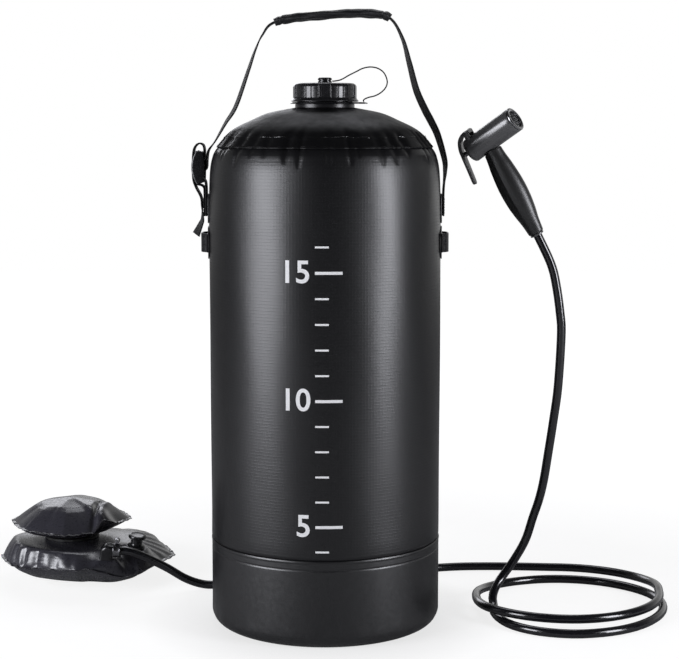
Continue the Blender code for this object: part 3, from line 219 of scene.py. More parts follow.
RISER = ((0.1742, 0.0120, 0.0072), (0.1738, 0.0215, 0.0138), (0.1770, 0.0295, 0.0215),
         (0.1838, 0.0370, 0.0300), (0.1967, 0.0420, 0.0468), (0.2092, 0.0420, 0.0695),
         (0.2165, 0.0390, 0.0947), (0.2222, 0.0350, 0.1147), (0.2262, 0.0300, 0.1365),
         (0.2298, 0.0240, 0.1669), (0.2339, 0.0180, 0.2027), (0.2372, 0.0120, 0.2381),
         (0.2387, 0.0050, 0.2918), (0.2369, 0.0030, 0.3139), (0.2326, 0.0010, 0.3410),
         (0.2269, 0.0000, 0.3630), (0.21393, 0.0, 0.39035), (0.20961, 0.0, 0.39824))


def polar(radius, angle, z):
    """Points at a radius and an angle round z, at a height."""
    radius, angle, z = np.broadcast_arrays(radius, angle, z)
    return np.stack([radius * np.cos(angle), radius * np.sin(angle), z], axis=-1)


def curved(route, step):
    """Points a step apart on the Catmull-Rom curve through a route, whose ends it runs on past."""
    route = np.array(route, float)
    p = np.vstack([2 * route[0] - route[1], route, 2 * route[-1] - route[-2]])
    t = np.linspace(0.0, 1.0, 24, endpoint=False)[None, :, None]
    a, b, c, d = (p[i:len(p) - 3 + i, None] for i in range(4))
    fine = 0.5 * (2 * b + (c - a) * t + (2 * a - 5 * b + 4 * c - d) * t ** 2
                  + (3 * b - a - 3 * c + d) * t ** 3)
    fine = np.vstack([fine.reshape(-1, route.shape[1]), route[-1:]])
    along = np.concatenate([[0.0], np.cumsum(np.linalg.norm(np.diff(fine[:, :3], axis=0), axis=1))])
    wanted = np.linspace(0.0, along[-1], max(3, round(along[-1] / step) + 1))
    return np.stack([np.interp(wanted, along, column) for column in fine.T], axis=1)


def coil():
    """Laps about COIL_AT: radius and height follow the stages by the angle turned from the back."""
    stages = curved(COIL_STAGES, 1.0)
    turn = np.arange(0.0, COIL_END + 1.0, 5.0)
    radius = np.interp(turn, stages[:, 0], stages[:, 1])
    height = np.maximum(np.interp(turn, stages[:, 0], stages[:, 2]), FLOOR_Z)
    return (*COIL_AT, 0.0) + polar(radius, np.radians(90.0 - turn), height)


def hose(name, line, diameter, finish):
    """A round bar along a line, as a curve with one spline."""
    curve = bpy.data.curves.new(name, "CURVE")
    curve.dimensions = "3D"
    curve.bevel_depth = diameter / 2
    curve.bevel_resolution = 6
    curve.use_fill_caps = True
    strand = curve.splines.new("POLY")
    strand.points.add(len(line) - 1)
    strand.points.foreach_set("co", np.c_[line, np.ones(len(line))].ravel())
    strand.use_smooth = True
    curve.materials.append(finish)
    return placed(name, curve)


def principled(name, colour, roughness, specular=0.5, **sockets):
    """A material with one Principled shader, and its tree and shader to add to."""
    made = bpy.data.materials.new(name)
    made.use_nodes = True
    shader = made.node_tree.nodes["Principled BSDF"]
    shader.inputs["Base Color"].default_value = (*colour, 1.0)
    shader.inputs["Roughness"].default_value = roughness
    shader.inputs["Specular IOR Level"].default_value = specular
    for socket, value in sockets.items():
        shader.inputs[socket.replace("_", " ")].default_value = value
    return made, made.node_tree, shader


def grain(tree, shader, scale, depth, roughness=None, spread=0.0, stretch=(1.0, 1.0, 1.0), detail=4.0):
    """Noise on Object coordinates that lifts the surface by depth and spreads its roughness."""
    at = node(tree, "Mapping", {0: node(tree, "TexCoord").outputs["Object"], "Scale": stretch}).outputs[0]
    noise = node(tree, "TexNoise", {"Vector": at, "Scale": scale, "Detail": detail}).outputs[0]
    bump = node(tree, "Bump", {"Height": noise, "Distance": depth, "Strength": 1.0})
    tree.links.new(bump.outputs[0], shader.inputs["Normal"])
    if roughness is not None:
        varied = mapped(tree, noise, 0.3, 0.7, roughness - spread, roughness + spread)
        tree.links.new(varied, shader.inputs["Roughness"])
    return noise, bump


def grained(name, colour, roughness, spread, scale, depth, specular=0.5, stretch=(1.0, 1.0, 1.0), detail=4.0,
            **sockets):
    """A Principled material of one colour with grain."""
    made, tree, shader = principled(name, colour, roughness, specular, **sockets)
    grain(tree, shader, scale, depth, roughness, spread, stretch, detail)
    return made


def settle(piece, body, *nodes):
    """A piece rides on a body and stands in for CAD nodes."""
    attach(piece, body)
    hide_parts(*nodes)


hose_finish = grained("hose_gloss", (0.006, 0.006, 0.008), 0.17, 0.05, 260.0, 0.00006, 0.85)

laps = coil()
shower_line = np.vstack([[OUTLET_END], curved([OUTLET_OUT, *RUN, tuple(laps[0])], 0.006)[:-1], laps,
                         curved([tuple(laps[-1]), *RISER], 0.006)[1:]])
shower_hose = hose("shower_hose", shower_line, HOSE_D, hose_finish)
settle(shower_hose, "bag", "shower_hose_run", "shower_hose_coil", "shower_hose_riser")


# Pump hose: the same hose, from the elbow on the pump's lower cushion down to the floor and up to the
# bag's air inlet behind the base.
PUMP_END = (-0.21919, 0.07799, 0.04903)
AIR_END = (-0.04515, 0.12729, 0.0245)
PUMP_ROUTE = (PUMP_END, (-0.21024, 0.07826, 0.04812), (-0.1930, 0.0830, 0.0400), (-0.1720, 0.0880, 0.0280),
              (-0.1520, 0.0945, 0.0140), (-0.1340, 0.1010, 0.0060), (-0.1180, 0.1045, FLOOR_Z),
              (-0.0980, 0.1110, 0.0075), (-0.0740, 0.1185, 0.0142), (-0.05352, 0.12486, 0.02225), AIR_END)

pump_line = curved(PUMP_ROUTE, 0.005)
pump_hose = hose("pump_supply_hose", pump_line, HOSE_D, hose_finish)
settle(pump_hose, "bag", "pump_hose")


# Cap tether: a thin moulded cord from the cap's swivel over to the eyelet of the ring on the neck.
TETHER_D = 0.0014
TETHER = ((0.0073, 0.5451), (0.0093, 0.5451), (0.0160, 0.5465), (0.0238, 0.5508), (0.0313, 0.5545),
          (0.0374, 0.5575), (0.0450, 0.5589), (0.0526, 0.5575), (0.0586, 0.5530), (0.0617, 0.5455),
          (0.0606, 0.5395), (0.0564, 0.5345), (0.0500, 0.5308), (0.0430, 0.5290), (0.0385, 0.5268),
          (0.0385, 0.5248))


def skin(name, points, finish, sides_close=True, ends_close=False, capped=True, sharp=35.0):
    """A mesh over a grid of points, one quad to a cell. Its UV map is the length along each way, in
    metres: u round the columns and v along the rows. Faces are turned outwards by the signed volume,
    the sum of the corners' triple products."""
    rows, columns = points.shape[:2]
    r, c = np.meshgrid(np.arange(rows if ends_close else rows - 1),
                       np.arange(columns if sides_close else columns - 1), indexing="ij")
    r, c = r.ravel(), c.ravel()
    r1, c1 = (r + 1) % rows, (c + 1) % columns
    quads = np.stack([r * columns + c, r * columns + c1, r1 * columns + c1, r1 * columns + c], axis=1)
    faces = quads.tolist()
    if capped and not ends_close:
        faces += [list(range(columns))[::-1], list(range((rows - 1) * columns, rows * columns))]
    mesh = bpy.data.meshes.new(name)
    mesh.from_pydata(points.reshape(-1, 3), [], faces)
    round_by = np.linalg.norm(np.roll(points, -1, axis=1) - points, axis=2).mean(axis=0)
    along_by = np.linalg.norm(np.roll(points, -1, axis=0) - points, axis=2).mean(axis=1)
    u = np.concatenate([[0.0], np.cumsum(round_by)])
    v = np.concatenate([[0.0], np.cumsum(along_by)])
    corners = np.stack([np.stack([u[c], v[r]], 1), np.stack([u[c + 1], v[r]], 1),
                        np.stack([u[c + 1], v[r + 1]], 1), np.stack([u[c], v[r + 1]], 1)], axis=1)
    uv = np.zeros((len(mesh.loops), 2))
    uv[:quads.size] = corners.reshape(-1, 2)
    mesh.uv_layers.new(name="lengths").data.foreach_set("uv", uv.ravel())
    flat = points.reshape(-1, 3) - points.reshape(-1, 3).mean(axis=0)
    a, b, d, e = (flat[quads[:, i]] for i in range(4))
    volume = (np.cross(a, b) * d).sum() + (np.cross(a, d) * e).sum()
    if volume < 0:
        mesh.flip_normals()
    mesh.polygons.foreach_set("use_smooth", [True] * len(mesh.polygons))
    if sharp:
        mesh.set_sharp_from_angle(angle=math.radians(sharp))
    mesh.materials.append(finish)
    return placed(name, mesh)


def unit(rows):
    """Each row divided by its length."""
    return rows / np.linalg.norm(rows, axis=-1, keepdims=True)


def swept(line, section, side=(0.0, 1.0, 0.0)):
    """A section of (across, outward) points carried along a line. across is side made square to the
    line, and outward is square to both."""
    line = np.array(line, float)
    along = unit(np.gradient(line, axis=0))
    across = np.broadcast_to(np.array(side, float), line.shape)
    across = unit(across - (across * along).sum(1, keepdims=True) * along)
    outward = np.cross(along, across)
    section = np.array(section, float)
    if section.ndim == 2:
        section = np.broadcast_to(section, (len(line), *section.shape))
    return line[:, None] + across[:, None] * section[..., :1] + outward[:, None] * section[..., 1:]


def circle(count):
    """The angles of a count of even steps once round."""
    return np.linspace(0.0, 2 * np.pi, count, endpoint=False)


def round_section(radius, steps):
    """The points of a circle."""
    return radius * np.c_[np.cos(circle(steps)), np.sin(circle(steps))]


def upright(points):
    """Points (x, z) put on the plane y = 0."""
    return [(x, 0.0, z) for x, z in points]


moulded_finish = grained("moulded_black", (0.010, 0.010, 0.011), 0.31, 0.05, 900.0, 0.00002)

tether_line = curved(upright(TETHER), 0.0015)
tether = skin("tether_cord", swept(tether_line, round_section(TETHER_D / 2, 10)), moulded_finish)
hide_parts("cap_tether")
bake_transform(tether)


# Base cup: the flat bottom and low wall of smooth black film. Its upper edge laps 9 mm over the side
# wall, with one weld line along the edge and one at the foot of the lap.
BAG_R = 0.1155
FILM = 0.0012
GAP = 0.0003
CUP_TOP = 0.0876
LAP = 0.009
CORNER_R = 0.0135
COLUMNS = 540


def turned(section, columns=COLUMNS):
    """A section of (radius, height) points turned about z: points[row, column]."""
    section = np.array(section, float)
    return polar(section[:, :1], circle(columns), section[:, 1:])


def offset(line, depth):
    """A (radius, height) line moved towards the inside of a shape that it climbs."""
    line = np.array(line, float)
    along = unit(np.gradient(line, axis=0))
    return line - np.stack([along[:, 1], -along[:, 0]], axis=1) * depth


def ridge(z, at, half, height):
    """A smooth bump of a height that dies out half away from at, as a squared cosine."""
    return height * np.where(abs(z - at) < half, np.cos((z - at) / half * np.pi / 2) ** 2, 0.0)


def pushed(points, out):
    """Points moved away from the z axis by out[row, column]."""
    plan = unit(points[..., :2])
    moved = points.copy()
    moved[..., :2] += plan * out[..., None]
    return moved


def around_z(points):
    """The angle of each point round z."""
    return np.arctan2(points[..., 1], points[..., 0])


def ramp(x, start, length):
    """0 up to a start, 1 from a length further on, even between. A negative length runs down from it."""
    return np.clip((x - start) / length, 0, 1)


def slow_waves(points, depth):
    """Shallow unevenness of blown-up film: a sum of three long waves round and along the bag."""
    angle, z = around_z(points), points[..., 2]
    return depth * (0.5 * np.sin(3 * angle + 9 * z) + 0.3 * np.sin(7 * angle - 16 * z + 1.3)
                    + 0.2 * np.sin(12 * angle + 31 * z + 0.4))


quarter = np.radians(np.linspace(0.0, 90.0, 12))
corner = CORNER_R * np.c_[np.sin(quarter), -np.cos(quarter)] + (BAG_R - CORNER_R, CORNER_R)
flat = np.c_[np.linspace(0.002, 0.098, 8), np.zeros(8)]
heights = np.concatenate([np.linspace(0.018, 0.072, 14), np.linspace(0.0745, CUP_TOP, 22)])
plain = np.vstack([flat, corner, np.c_[np.full(len(heights), BAG_R), heights]])
outer = plain.copy()
outer[:, 0] += np.where(outer[:, 1] > 0.07, ridge(outer[:, 1], CUP_TOP - LAP, 0.0012, -0.0005)
                        + ridge(outer[:, 1], CUP_TOP - 0.0014, 0.0014, 0.0004), 0.0)
cup = turned(np.vstack([outer, offset(plain, FILM)[::-1]]))
angle, z = around_z(cup), cup[..., 2]
gathers = np.sin(23 * angle) * np.sin(9 * angle)
cup = pushed(cup, slow_waves(cup, 0.0003) * ramp(z, 0.0, 0.02)
             + 0.00025 * gathers * np.clip(1 - abs(z - 0.014) / 0.014, 0, 1))

cup_finish = grained("cup_film", (0.0050, 0.0050, 0.0057), 0.36, 0.04, 220.0, 0.00003, 0.85)
base_cup = skin("base_cup_film", cup, cup_finish, sharp=50)
settle(base_cup, "bag", "base_cup")


# Side wall: a tube of PVC-coated ripstop. Its top is gathered in under the dome, so it falls into
# short pleats below the weld.
SHOULDER = ((0.1155, 0.3900), (0.1155, 0.4200), (0.1142, 0.4554), (0.1115, 0.4703), (0.1085, 0.4768))
DOME = ((0.1075, 0.4805), (0.0980, 0.4920), (0.0890, 0.4990), (0.0737, 0.5064), (0.0560, 0.5138),
        (0.0300, 0.5190))
WELD_Z = 0.4900
RIPSTOP = 0.0031
PLEATS = 36
PLEAT_R = 0.108
WALL_WAVES = 0.0005

chance = np.random.default_rng(11)
pleat_at = np.linspace(0, 2 * np.pi, PLEATS, endpoint=False) + chance.uniform(-0.07, 0.07, PLEATS)
pleat_deep = chance.uniform(0.0018, 0.0034, PLEATS)
pleat_wide = chance.uniform(0.0034, 0.0056, PLEATS)
pleat_long = chance.uniform(0.014, 0.026, PLEATS)


def hill(x, at, wide):
    """A smooth bump of height 1, the bell curve exp(-((x - at) / wide) ** 2)."""
    return np.exp(-((x - at) / wide) ** 2)


def pleated(points):
    """How far pleats draw the film in: wedges that open from a point below the weld to their full
    width at it, and fade out above it. Across, each is a bell of its own width."""
    z = points[..., 2][..., None]
    across = (around_z(points)[..., None] - pleat_at + np.pi) % (2 * np.pi) - np.pi
    below = ramp(z, WELD_Z - 0.004 - pleat_long, pleat_long)
    above = ramp(z, WELD_Z, pleat_long * 0.55)
    strength = below ** 0.8 * (1 - above) ** 1.5
    wide = pleat_wide * (0.30 + 0.70 * below) / PLEAT_R
    return -(pleat_deep * strength * hill(across, 0.0, wide)).sum(-1) + 0.0005 * strength.mean(-1)


def wall_out(points):
    """How far the side wall's outer face stands off BAG_R: its pleats and its slow waves."""
    return pleated(points) + slow_waves(points, WALL_WAVES) * ramp(points[..., 2], CUP_TOP, 0.03)


def uv_lengths(tree):
    """The lengths round and along a piece, as the X and Y of a node."""
    return node(tree, "SeparateXYZ", {0: node(tree, "UVMap", uv_map="lengths").outputs[0]})


def ripstop_threads(tree, pitch, thread):
    """1 on the threads of a square grid of a pitch over the UV lengths, 0 between them, for each way."""
    at = uv_lengths(tree)
    lines = []
    for way in ("X", "Y"):
        share = sums(tree, "FRACT", sums(tree, "DIVIDE", at.outputs[way], pitch))
        near = sums(tree, "ABSOLUTE", sums(tree, "SUBTRACT", share, 0.5))
        lines.append(mapped(tree, near, thread, 0.0, 0.0, 1.0))
    return lines


step_in = FILM + GAP
foot = [(BAG_R - step_in, CUP_TOP - LAP), (BAG_R - step_in, CUP_TOP + GAP),
        (BAG_R - 0.0002, CUP_TOP + 2 * GAP + FILM)]
straight = np.c_[np.full(24, BAG_R), np.linspace(0.0915, 0.3850, 24)]
shoulder = curved([*SHOULDER, *offset(DOME[:2], step_in)], 0.0012)
side_line = np.vstack([foot, straight, shoulder])
inside = offset(side_line, FILM)[::-1]
side = turned(np.vstack([side_line, inside[:-1:2], inside[-1:]]))
side = pushed(side, wall_out(side))

coated_finish, tree, shader = principled("coated_ripstop", (0.0040, 0.0040, 0.0047), 0.38, 0.65)
noise, bump = grain(tree, shader, 130.0, 0.00003, detail=2.0)
up_threads, round_threads = ripstop_threads(tree, RIPSTOP, 0.17)
threads = sums(tree, "ADD", sums(tree, "MULTIPLY", up_threads, 0.55), round_threads)
woven = node(tree, "Bump", {"Height": threads, "Distance": 0.00003, "Strength": 1.0,
                            "Normal": bump.outputs[0]})
tree.links.new(woven.outputs[0], shader.inputs["Normal"])
tree.links.new(mapped(tree, threads, 0.0, 1.5, 0.35, 0.40), shader.inputs["Roughness"])
side_wall = skin("side_wall_fabric", side, coated_finish, ends_close=True, sharp=0)
settle(side_wall, "bag", "side_wall")


# Top dome: a disc of smoother film, pressed into a dome and welded over the gathered wall along two
# lines, one at its edge and one 11 mm further in.
dome_line = curved(DOME, 0.0012)
lined = dome_line.copy()
lined[:, 1] += ridge(dome_line[:, 1], WELD_Z, 0.0011, 0.0005)
lined[:, 1] += ridge(dome_line[:, 1], WELD_Z - 0.0018, 0.0010, -0.0004)
dome = turned(np.vstack([lined, offset(dome_line, FILM)[::-1]]))
dome = pushed(dome, pleated(dome))

dome_finish = grained("dome_film", (0.0045, 0.0045, 0.0050), 0.44, 0.05, 150.0, 0.00004, 0.20)
top_dome = skin("top_dome_film", dome, dome_finish, ends_close=True, sharp=0)
settle(top_dome, "bag", "top_dome")

# Each bead is a melted edge of uneven thickness: name, height, seed of its waves, radius and finish.
bead_finish = grained("melted_bead", (0.010, 0.010, 0.011), 0.14, 0.06, 900.0, 0.00004, 0.9)
around = circle(900)
turn = circle(10)[:, None]
for name, height, seed, size, finish in (("upper_weld_bead", WELD_Z + 0.0004, 1.3, 0.00055, bead_finish),
                                         ("lower_weld_bead", DOME[0][1] + 0.0012, 4.1, 0.00028, dome_finish)):
    radius = np.interp(height, dome_line[:, 1], dome_line[:, 0])
    line = polar(radius, around, height)
    line[:, 2] += 0.0005 * np.sin(9 * around + seed) + 0.0003 * np.sin(31 * around)
    line[:, :2] *= (1 + pleated(line) / radius)[:, None]
    thick = size * (0.65 + 0.35 * np.sin(47 * around + seed) * np.sin(13 * around + seed))
    away, up = unit(line * (1, 1, 0)), np.array([0.0, 0.0, 1.0])
    tube = line[:, None] + thick[:, None, None] * (away[:, None] * np.cos(turn) + up * np.sin(turn))
    made = skin(name, np.swapaxes(tube, 0, 1), finish, ends_close=True, sharp=0)
    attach(made, "bag")


# Fill scale: a plain scale of litres, screen-printed in white on the front of the wall. The marks stand
# where the water would reach: a litre fills 24.3 mm of the bag.
LITRE = 0.0243
SCALE_X = -0.0085
MARK_T = 0.0002
INK_OUT = 0.0003
LONG_MARK = (0.0260, 0.0014)
SHORT_MARK = (0.0130, 0.0009)
MARK_STEPS = 12
DIGIT_H = 0.0300
DIGIT_GAP = 0.0040


def joined(name, pieces):
    """One object made of several."""
    with bpy.context.temp_override(active_object=pieces[0], object=pieces[0], selected_objects=pieces,
                                   selected_editable_objects=pieces):
        bpy.ops.object.join()
    pieces[0].name = name
    return pieces[0]


def plain_mesh(name, data):
    """The mesh of a curve or text, whose object is then dropped."""
    made = placed(name, data)
    bpy.context.view_layer.update()
    mesh = bpy.data.meshes.new_from_object(made.evaluated_get(bpy.context.evaluated_depsgraph_get()))
    bpy.data.objects.remove(made)
    return mesh


def printed(name, mesh, right, up):
    """A flat mesh laid on the front of the wall: x becomes an arc to the right and z stands outwards."""
    flat = np.empty(len(mesh.vertices) * 3)
    mesh.vertices.foreach_get("co", flat)
    flat = flat.reshape(-1, 3)
    angle = (flat[:, 0] + right) / BAG_R - np.pi / 2
    height = flat[:, 1] + up
    radius = BAG_R + wall_out(polar(BAG_R, angle, height)) + INK_OUT + flat[:, 2]
    mesh.vertices.foreach_set("co", polar(radius, angle, height).ravel())
    mesh.materials.clear()
    mesh.materials.append(ink_finish)
    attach(placed(name, mesh), "bag")


ink_finish, tree, shader = principled("white_ink", (0.80, 0.80, 0.80), 0.45)
noise, bump = grain(tree, shader, 900.0, 0.00003, 0.45, 0.06)
tree.links.new(grey(tree, mapped(tree, noise, 0.25, 0.45, 0.70, 0.82)), shader.inputs["Base Color"])

strokes = []
for litre in range(4, 17):
    width, thick = LONG_MARK if litre % 5 == 0 else SHORT_MARK
    box = np.array([(1, 1), (-1, 1), (-1, -1), (1, -1)]) * (thick, MARK_T / 2)
    along = np.linspace(0.0, width, MARK_STEPS)
    line = np.c_[along, along * 0 + litre * LITRE, along * 0]
    strokes.append(skin("stroke", swept(line, box), ink_finish))
marks = joined("strokes", strokes)
printed("fill_marks", marks.data.copy(), SCALE_X, 0.0)
bpy.data.objects.remove(marks)
for litre in (5, 10, 15):
    digits = bpy.data.curves.new("digits", "FONT")
    digits.body = str(litre)
    digits.size = DIGIT_H
    digits.extrude = MARK_T / 2
    digits.offset = 0.0004
    digits.align_x = "RIGHT"
    digits.align_y = "CENTER"
    printed(f"fill_number_{litre}", plain_mesh("digits", digits), SCALE_X - DIGIT_GAP, litre * LITRE)


# Filler neck: a moulded spout with one screw thread. Its flange is welded under the dome.
SPOUT_R = 0.0275
SPOUT_BORE = 0.0245
SPOUT_TOP = 0.5380
COLLAR_R = 0.0295
COLLAR_TOP = 0.5226
FLANGE_R = 0.0460
FLANGE_T = 0.0020


def under_dome(radius):
    """The height just under the dome's film at a radius."""
    r, z = np.array(DOME[::-1]).T
    return float(np.interp(radius, r, z)) - 1.05 * FILM - GAP


threads = [(SPOUT_R + 0.0009 * np.cos((z - 0.5300) / 0.0016 * np.pi / 2) ** 2, z)
           for z in np.linspace(0.5316, 0.5284, 9)]
neck_line = [(SPOUT_BORE, SPOUT_TOP - 0.0004), (SPOUT_BORE + 0.0004, SPOUT_TOP),
             (SPOUT_R - 0.0004, SPOUT_TOP), (SPOUT_R, SPOUT_TOP - 0.0004), *threads,
             (SPOUT_R, COLLAR_TOP + 0.0003), (SPOUT_R + 0.0003, COLLAR_TOP),
             (COLLAR_R - 0.0004, COLLAR_TOP), (COLLAR_R, COLLAR_TOP - 0.0004),
             (COLLAR_R, under_dome(COLLAR_R + GAP)), (FLANGE_R, under_dome(FLANGE_R)),
             (FLANGE_R, under_dome(FLANGE_R) - FLANGE_T), (SPOUT_BORE, under_dome(COLLAR_R) - FLANGE_T)]
neck = skin("neck_moulding", turned(neck_line, 144), moulded_finish, ends_close=True, sharp=40)
settle(neck, "bag", "filler_neck")


# Tether ring: a flat moulded ring on the neck's shoulder. Its rim turns down a little, and an eyelet at
# the right holds the end of the tether.
RING_T = 0.0016
RING_R = 0.0360
EYELET_X = 0.0385
EYELET_R = 0.0045
RING_LOW = COLLAR_TOP + GAP
# The rows of the ring's rim, as a share of its reach and a rise over its foot.
RIM_ROWS = ((0.85, RING_T), (0.93, RING_T - 0.0001), (0.98, RING_T - 0.0005), (1.0, RING_T - 0.0010),
            (0.995, RING_T - 0.0016), (0.975, RING_T - 0.0017), (0.93, RING_T - 0.0014), (0.87, 0.0))

satin_finish = grained("satin_moulding", (0.010, 0.010, 0.011), 0.24, 0.05, 420.0, 0.00002, 0.6)

around = circle(288)
inside_eye = EYELET_R ** 2 - (EYELET_X * np.sin(around)) ** 2
eyelet = np.where((inside_eye > 0) & (np.cos(around) > 0),
                  EYELET_X * np.cos(around) + np.sqrt(np.maximum(inside_eye, 0)), 0.0)
rim = np.maximum(RING_R * 0.95, eyelet * 0.99)
rows = [polar(SPOUT_R + 0.0004, around, RING_LOW + rise) for rise in (0.0, RING_T)]
rows += [polar(share * rim, around, RING_LOW + rise) for share, rise in RIM_ROWS]
ring = skin("tether_ring_moulding", np.stack(rows), satin_finish, ends_close=True, sharp=40)
settle(ring, "bag", "tether_ring")


# Cap: a moulded screw cap. Its side has six hollows with fine ribs in them, between smooth lobes with two
# grooves each. The top edge is round, a stud carries the swivel, and a rubber gasket seals the spout.
CAP_R = 0.0315
CAP_LOW = 0.5249
CAP_TOP = 0.5430
CAP_WALL = 0.0025
STUD_R = 0.0028
STUD_TOP = 0.5466
LOBE_STEP = 60.0
RIB_STEP = 3.4
HOLLOW = 0.0014
RIB = 0.00006
HOLLOW_HALF = 10.5
HOLLOW_EDGE = 1.8
GROOVE_AT = 24.5


def smooth(share):
    """A share from 0 to 1 that starts and ends level: 3 s ** 2 - 2 s ** 3."""
    return share ** 2 * (3 - 2 * share)


ease = np.radians(np.linspace(0.0, 90.0, 9))
climb = [(CAP_R + 0.0010, CAP_LOW), (CAP_R + 0.0019, CAP_LOW + 0.0004), (CAP_R + 0.0020, CAP_LOW + 0.0009),
         (CAP_R + 0.0012, CAP_LOW + 0.0017), (CAP_R + 0.0004, CAP_LOW + 0.0027), (CAP_R, CAP_LOW + 0.0037),
         *[(CAP_R, z) for z in np.linspace(CAP_LOW + 0.0042, CAP_TOP - 0.0044, 20)],
         *[(CAP_R - 0.0048 + 0.0048 * math.cos(a), CAP_TOP - 0.0040 + 0.0040 * math.sin(a)) for a in ease],
         (0.0240, CAP_TOP - 0.0002), (0.0110, CAP_TOP - 0.0006), (0.0100, CAP_TOP - 0.0001),
         (0.0092, CAP_TOP), (STUD_R + 0.0004, CAP_TOP), (STUD_R, CAP_TOP + 0.0004),
         (STUD_R, STUD_TOP - 0.0005), (STUD_R - 0.0005, STUD_TOP), (0.0008, STUD_TOP)]
lining = [(0.0008, CAP_TOP - 0.0025), (CAP_R - CAP_WALL - 0.0006, CAP_TOP - 0.0025),
          (CAP_R - CAP_WALL, CAP_TOP - 0.0031), (CAP_R - CAP_WALL, CAP_LOW)]
cap_points = turned([*lining, *climb], 1080)
turn = np.degrees(around_z(cap_points)) + 90.0
off = abs((turn + LOBE_STEP / 2) % LOBE_STEP - LOBE_STEP / 2)
ribbed = HOLLOW + RIB * np.cos(off / RIB_STEP * 2 * np.pi)
shape = ribbed * (1 - smooth(ramp(off, HOLLOW_HALF, HOLLOW_EDGE)))
shape += 0.0006 * hill(off, GROOVE_AT, 0.7)
cap_z = cap_points[..., 2]
on_side = ramp(cap_z, CAP_LOW + 0.0030, 0.0010) * ramp(cap_z, CAP_TOP - 0.0012, -0.0016)
on_side *= np.hypot(cap_points[..., 0], cap_points[..., 1]) > CAP_R - 0.0035
cap = skin("cap_moulding", pushed(cap_points, -shape * on_side), satin_finish, sharp=40)
settle(cap, "cap", "cap")

swivel_line = [(0.0008, 0.5469), (0.0031, 0.5469), (0.0031, 0.5433), (0.0064, 0.5433), (0.0070, 0.5438),
               (0.0070, 0.5447), (0.0067, 0.5450), (0.0061, 0.5452), (0.0061, 0.5458), (0.0067, 0.5460),
               (0.0070, 0.5463), (0.0070, 0.5474), (0.0066, 0.5481), (0.0058, 0.5485), (0.0040, 0.5486),
               (0.0036, 0.5483), (0.0008, 0.5483)]
swivel = skin("swivel_moulding", turned(swivel_line, 96), satin_finish, sharp=40)
settle(swivel, "cap_swivel", "cap_swivel")

rubber_finish = grained("black_rubber", (0.014, 0.014, 0.014), 0.62, 0.08, 500.0, 0.00006)


def dress(finish, *names):
    """Gives CAD nodes a finish of this scene in place of their plain one."""
    for name in names:
        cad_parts[name].data.materials.clear()
        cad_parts[name].data.materials.append(finish)


dress(rubber_finish, "cap_gasket")


# Carry strap: flat 20 mm polypropylene webbing. It doubles through the ladder lock at the left, turns
# edge-on on its way up, runs through the grip and comes down to its patch at the right.
STRAP_W = 0.0200
STRAP_T = 0.0015
TAIL_END = (-0.1289, 0.3932, 0)
STRAP_LEFT = ((-0.1240, 0.4040, 0), (-0.1224, 0.4083, 0), (-0.1225, 0.4180, 0), (-0.1232, 0.4300, 0),
              (-0.1280, 0.4400, 0), (-0.1307, 0.4480, 0), (-0.1312, 0.4600, 0), (-0.1306, 0.4740, 0),
              (-0.1288, 0.4805, 0), (-0.1250, 0.4838, 0), (-0.1210, 0.4825, 0), (-0.1196, 0.4780, 0),
              (-0.1196, 0.4710, 0), (-0.1203, 0.4678, 0), (-0.1235, 0.4666, 0), (-0.1272, 0.4650, 0),
              (-0.1283, 0.4612, 0), (-0.1272, 0.4575, 0), (-0.1235, 0.4562, 0), (-0.1195, 0.4572, 0),
              (-0.1175, 0.4605, 0), (-0.1170, 0.4680, 0), (-0.1155, 0.4770, 0), (-0.1090, 0.4861, 4),
              (-0.0985, 0.5040, 9), (-0.0880, 0.5210, 12), (-0.0755, 0.5560, 10), (-0.0685, 0.5758, 6),
              (-0.0616, 0.5900, 2))
STRAP_TOP = ((-0.0505, 0.6020, 0), (-0.0200, 0.6078, 0), (0.0176, 0.6105, 0), (0.0450, 0.6110, 0),
             (0.0647, 0.6060, 0))
STRAP_RIGHT = ((0.0765, 0.5869, -4), (0.0835, 0.5627, -10), (0.0906, 0.5363, -14), (0.0994, 0.5167, -16),
               (0.1051, 0.5062, -16), (0.1120, 0.4918, -14), (0.1190, 0.4680, -10), (0.1196, 0.4560, -5),
               (0.1188, 0.4463, 0), (0.1181, 0.4360, 0), (0.1180, 0.4240, 0), (0.1180, 0.4120, 0))
ANCHOR = ((0.1180, 0.4120), (0.1180, 0.4300), (0.1182, 0.4410), (0.1191, 0.4468), (0.1215, 0.4490),
          (0.1245, 0.4491), (0.1268, 0.4482), (0.1276, 0.4458), (0.1262, 0.4434), (0.1228, 0.4425),
          (0.1204, 0.4405), (0.1198, 0.4360), (0.1198, 0.4120))
# The route's third number is its twist in degrees, made this small so that it adds nothing to its length.
TWIST_UNIT = 0.0001
TAIL_TWIST = 24.0
TAIL_STEPS = 26
CORD_W = 0.0017
RIB_L = 0.0012
THREAD_R = 0.00022
# The box of stitches on each patch: half its width, its heights, and a stitch's length.
STITCH_HALF = 0.0078
STITCH_Z = (0.4140, 0.4300)
STITCH_L = 0.0026


def band_section(width, thick, flat=11, bend=5):
    """A flat band's outline: two straight sides joined by half circles."""
    half, r = (width - thick) / 2, thick / 2
    right = np.radians(np.linspace(90.0, -90.0, bend))
    x = np.concatenate([np.linspace(-half, half, flat)[:-1], half + r * np.cos(right),
                        np.linspace(half, -half, flat)[1:-1], -half - r * np.cos(right)])
    y = np.concatenate([np.full(flat - 1, r), r * np.sin(right), np.full(flat - 2, -r), -r * np.sin(right)])
    return np.stack([x, y], axis=1)


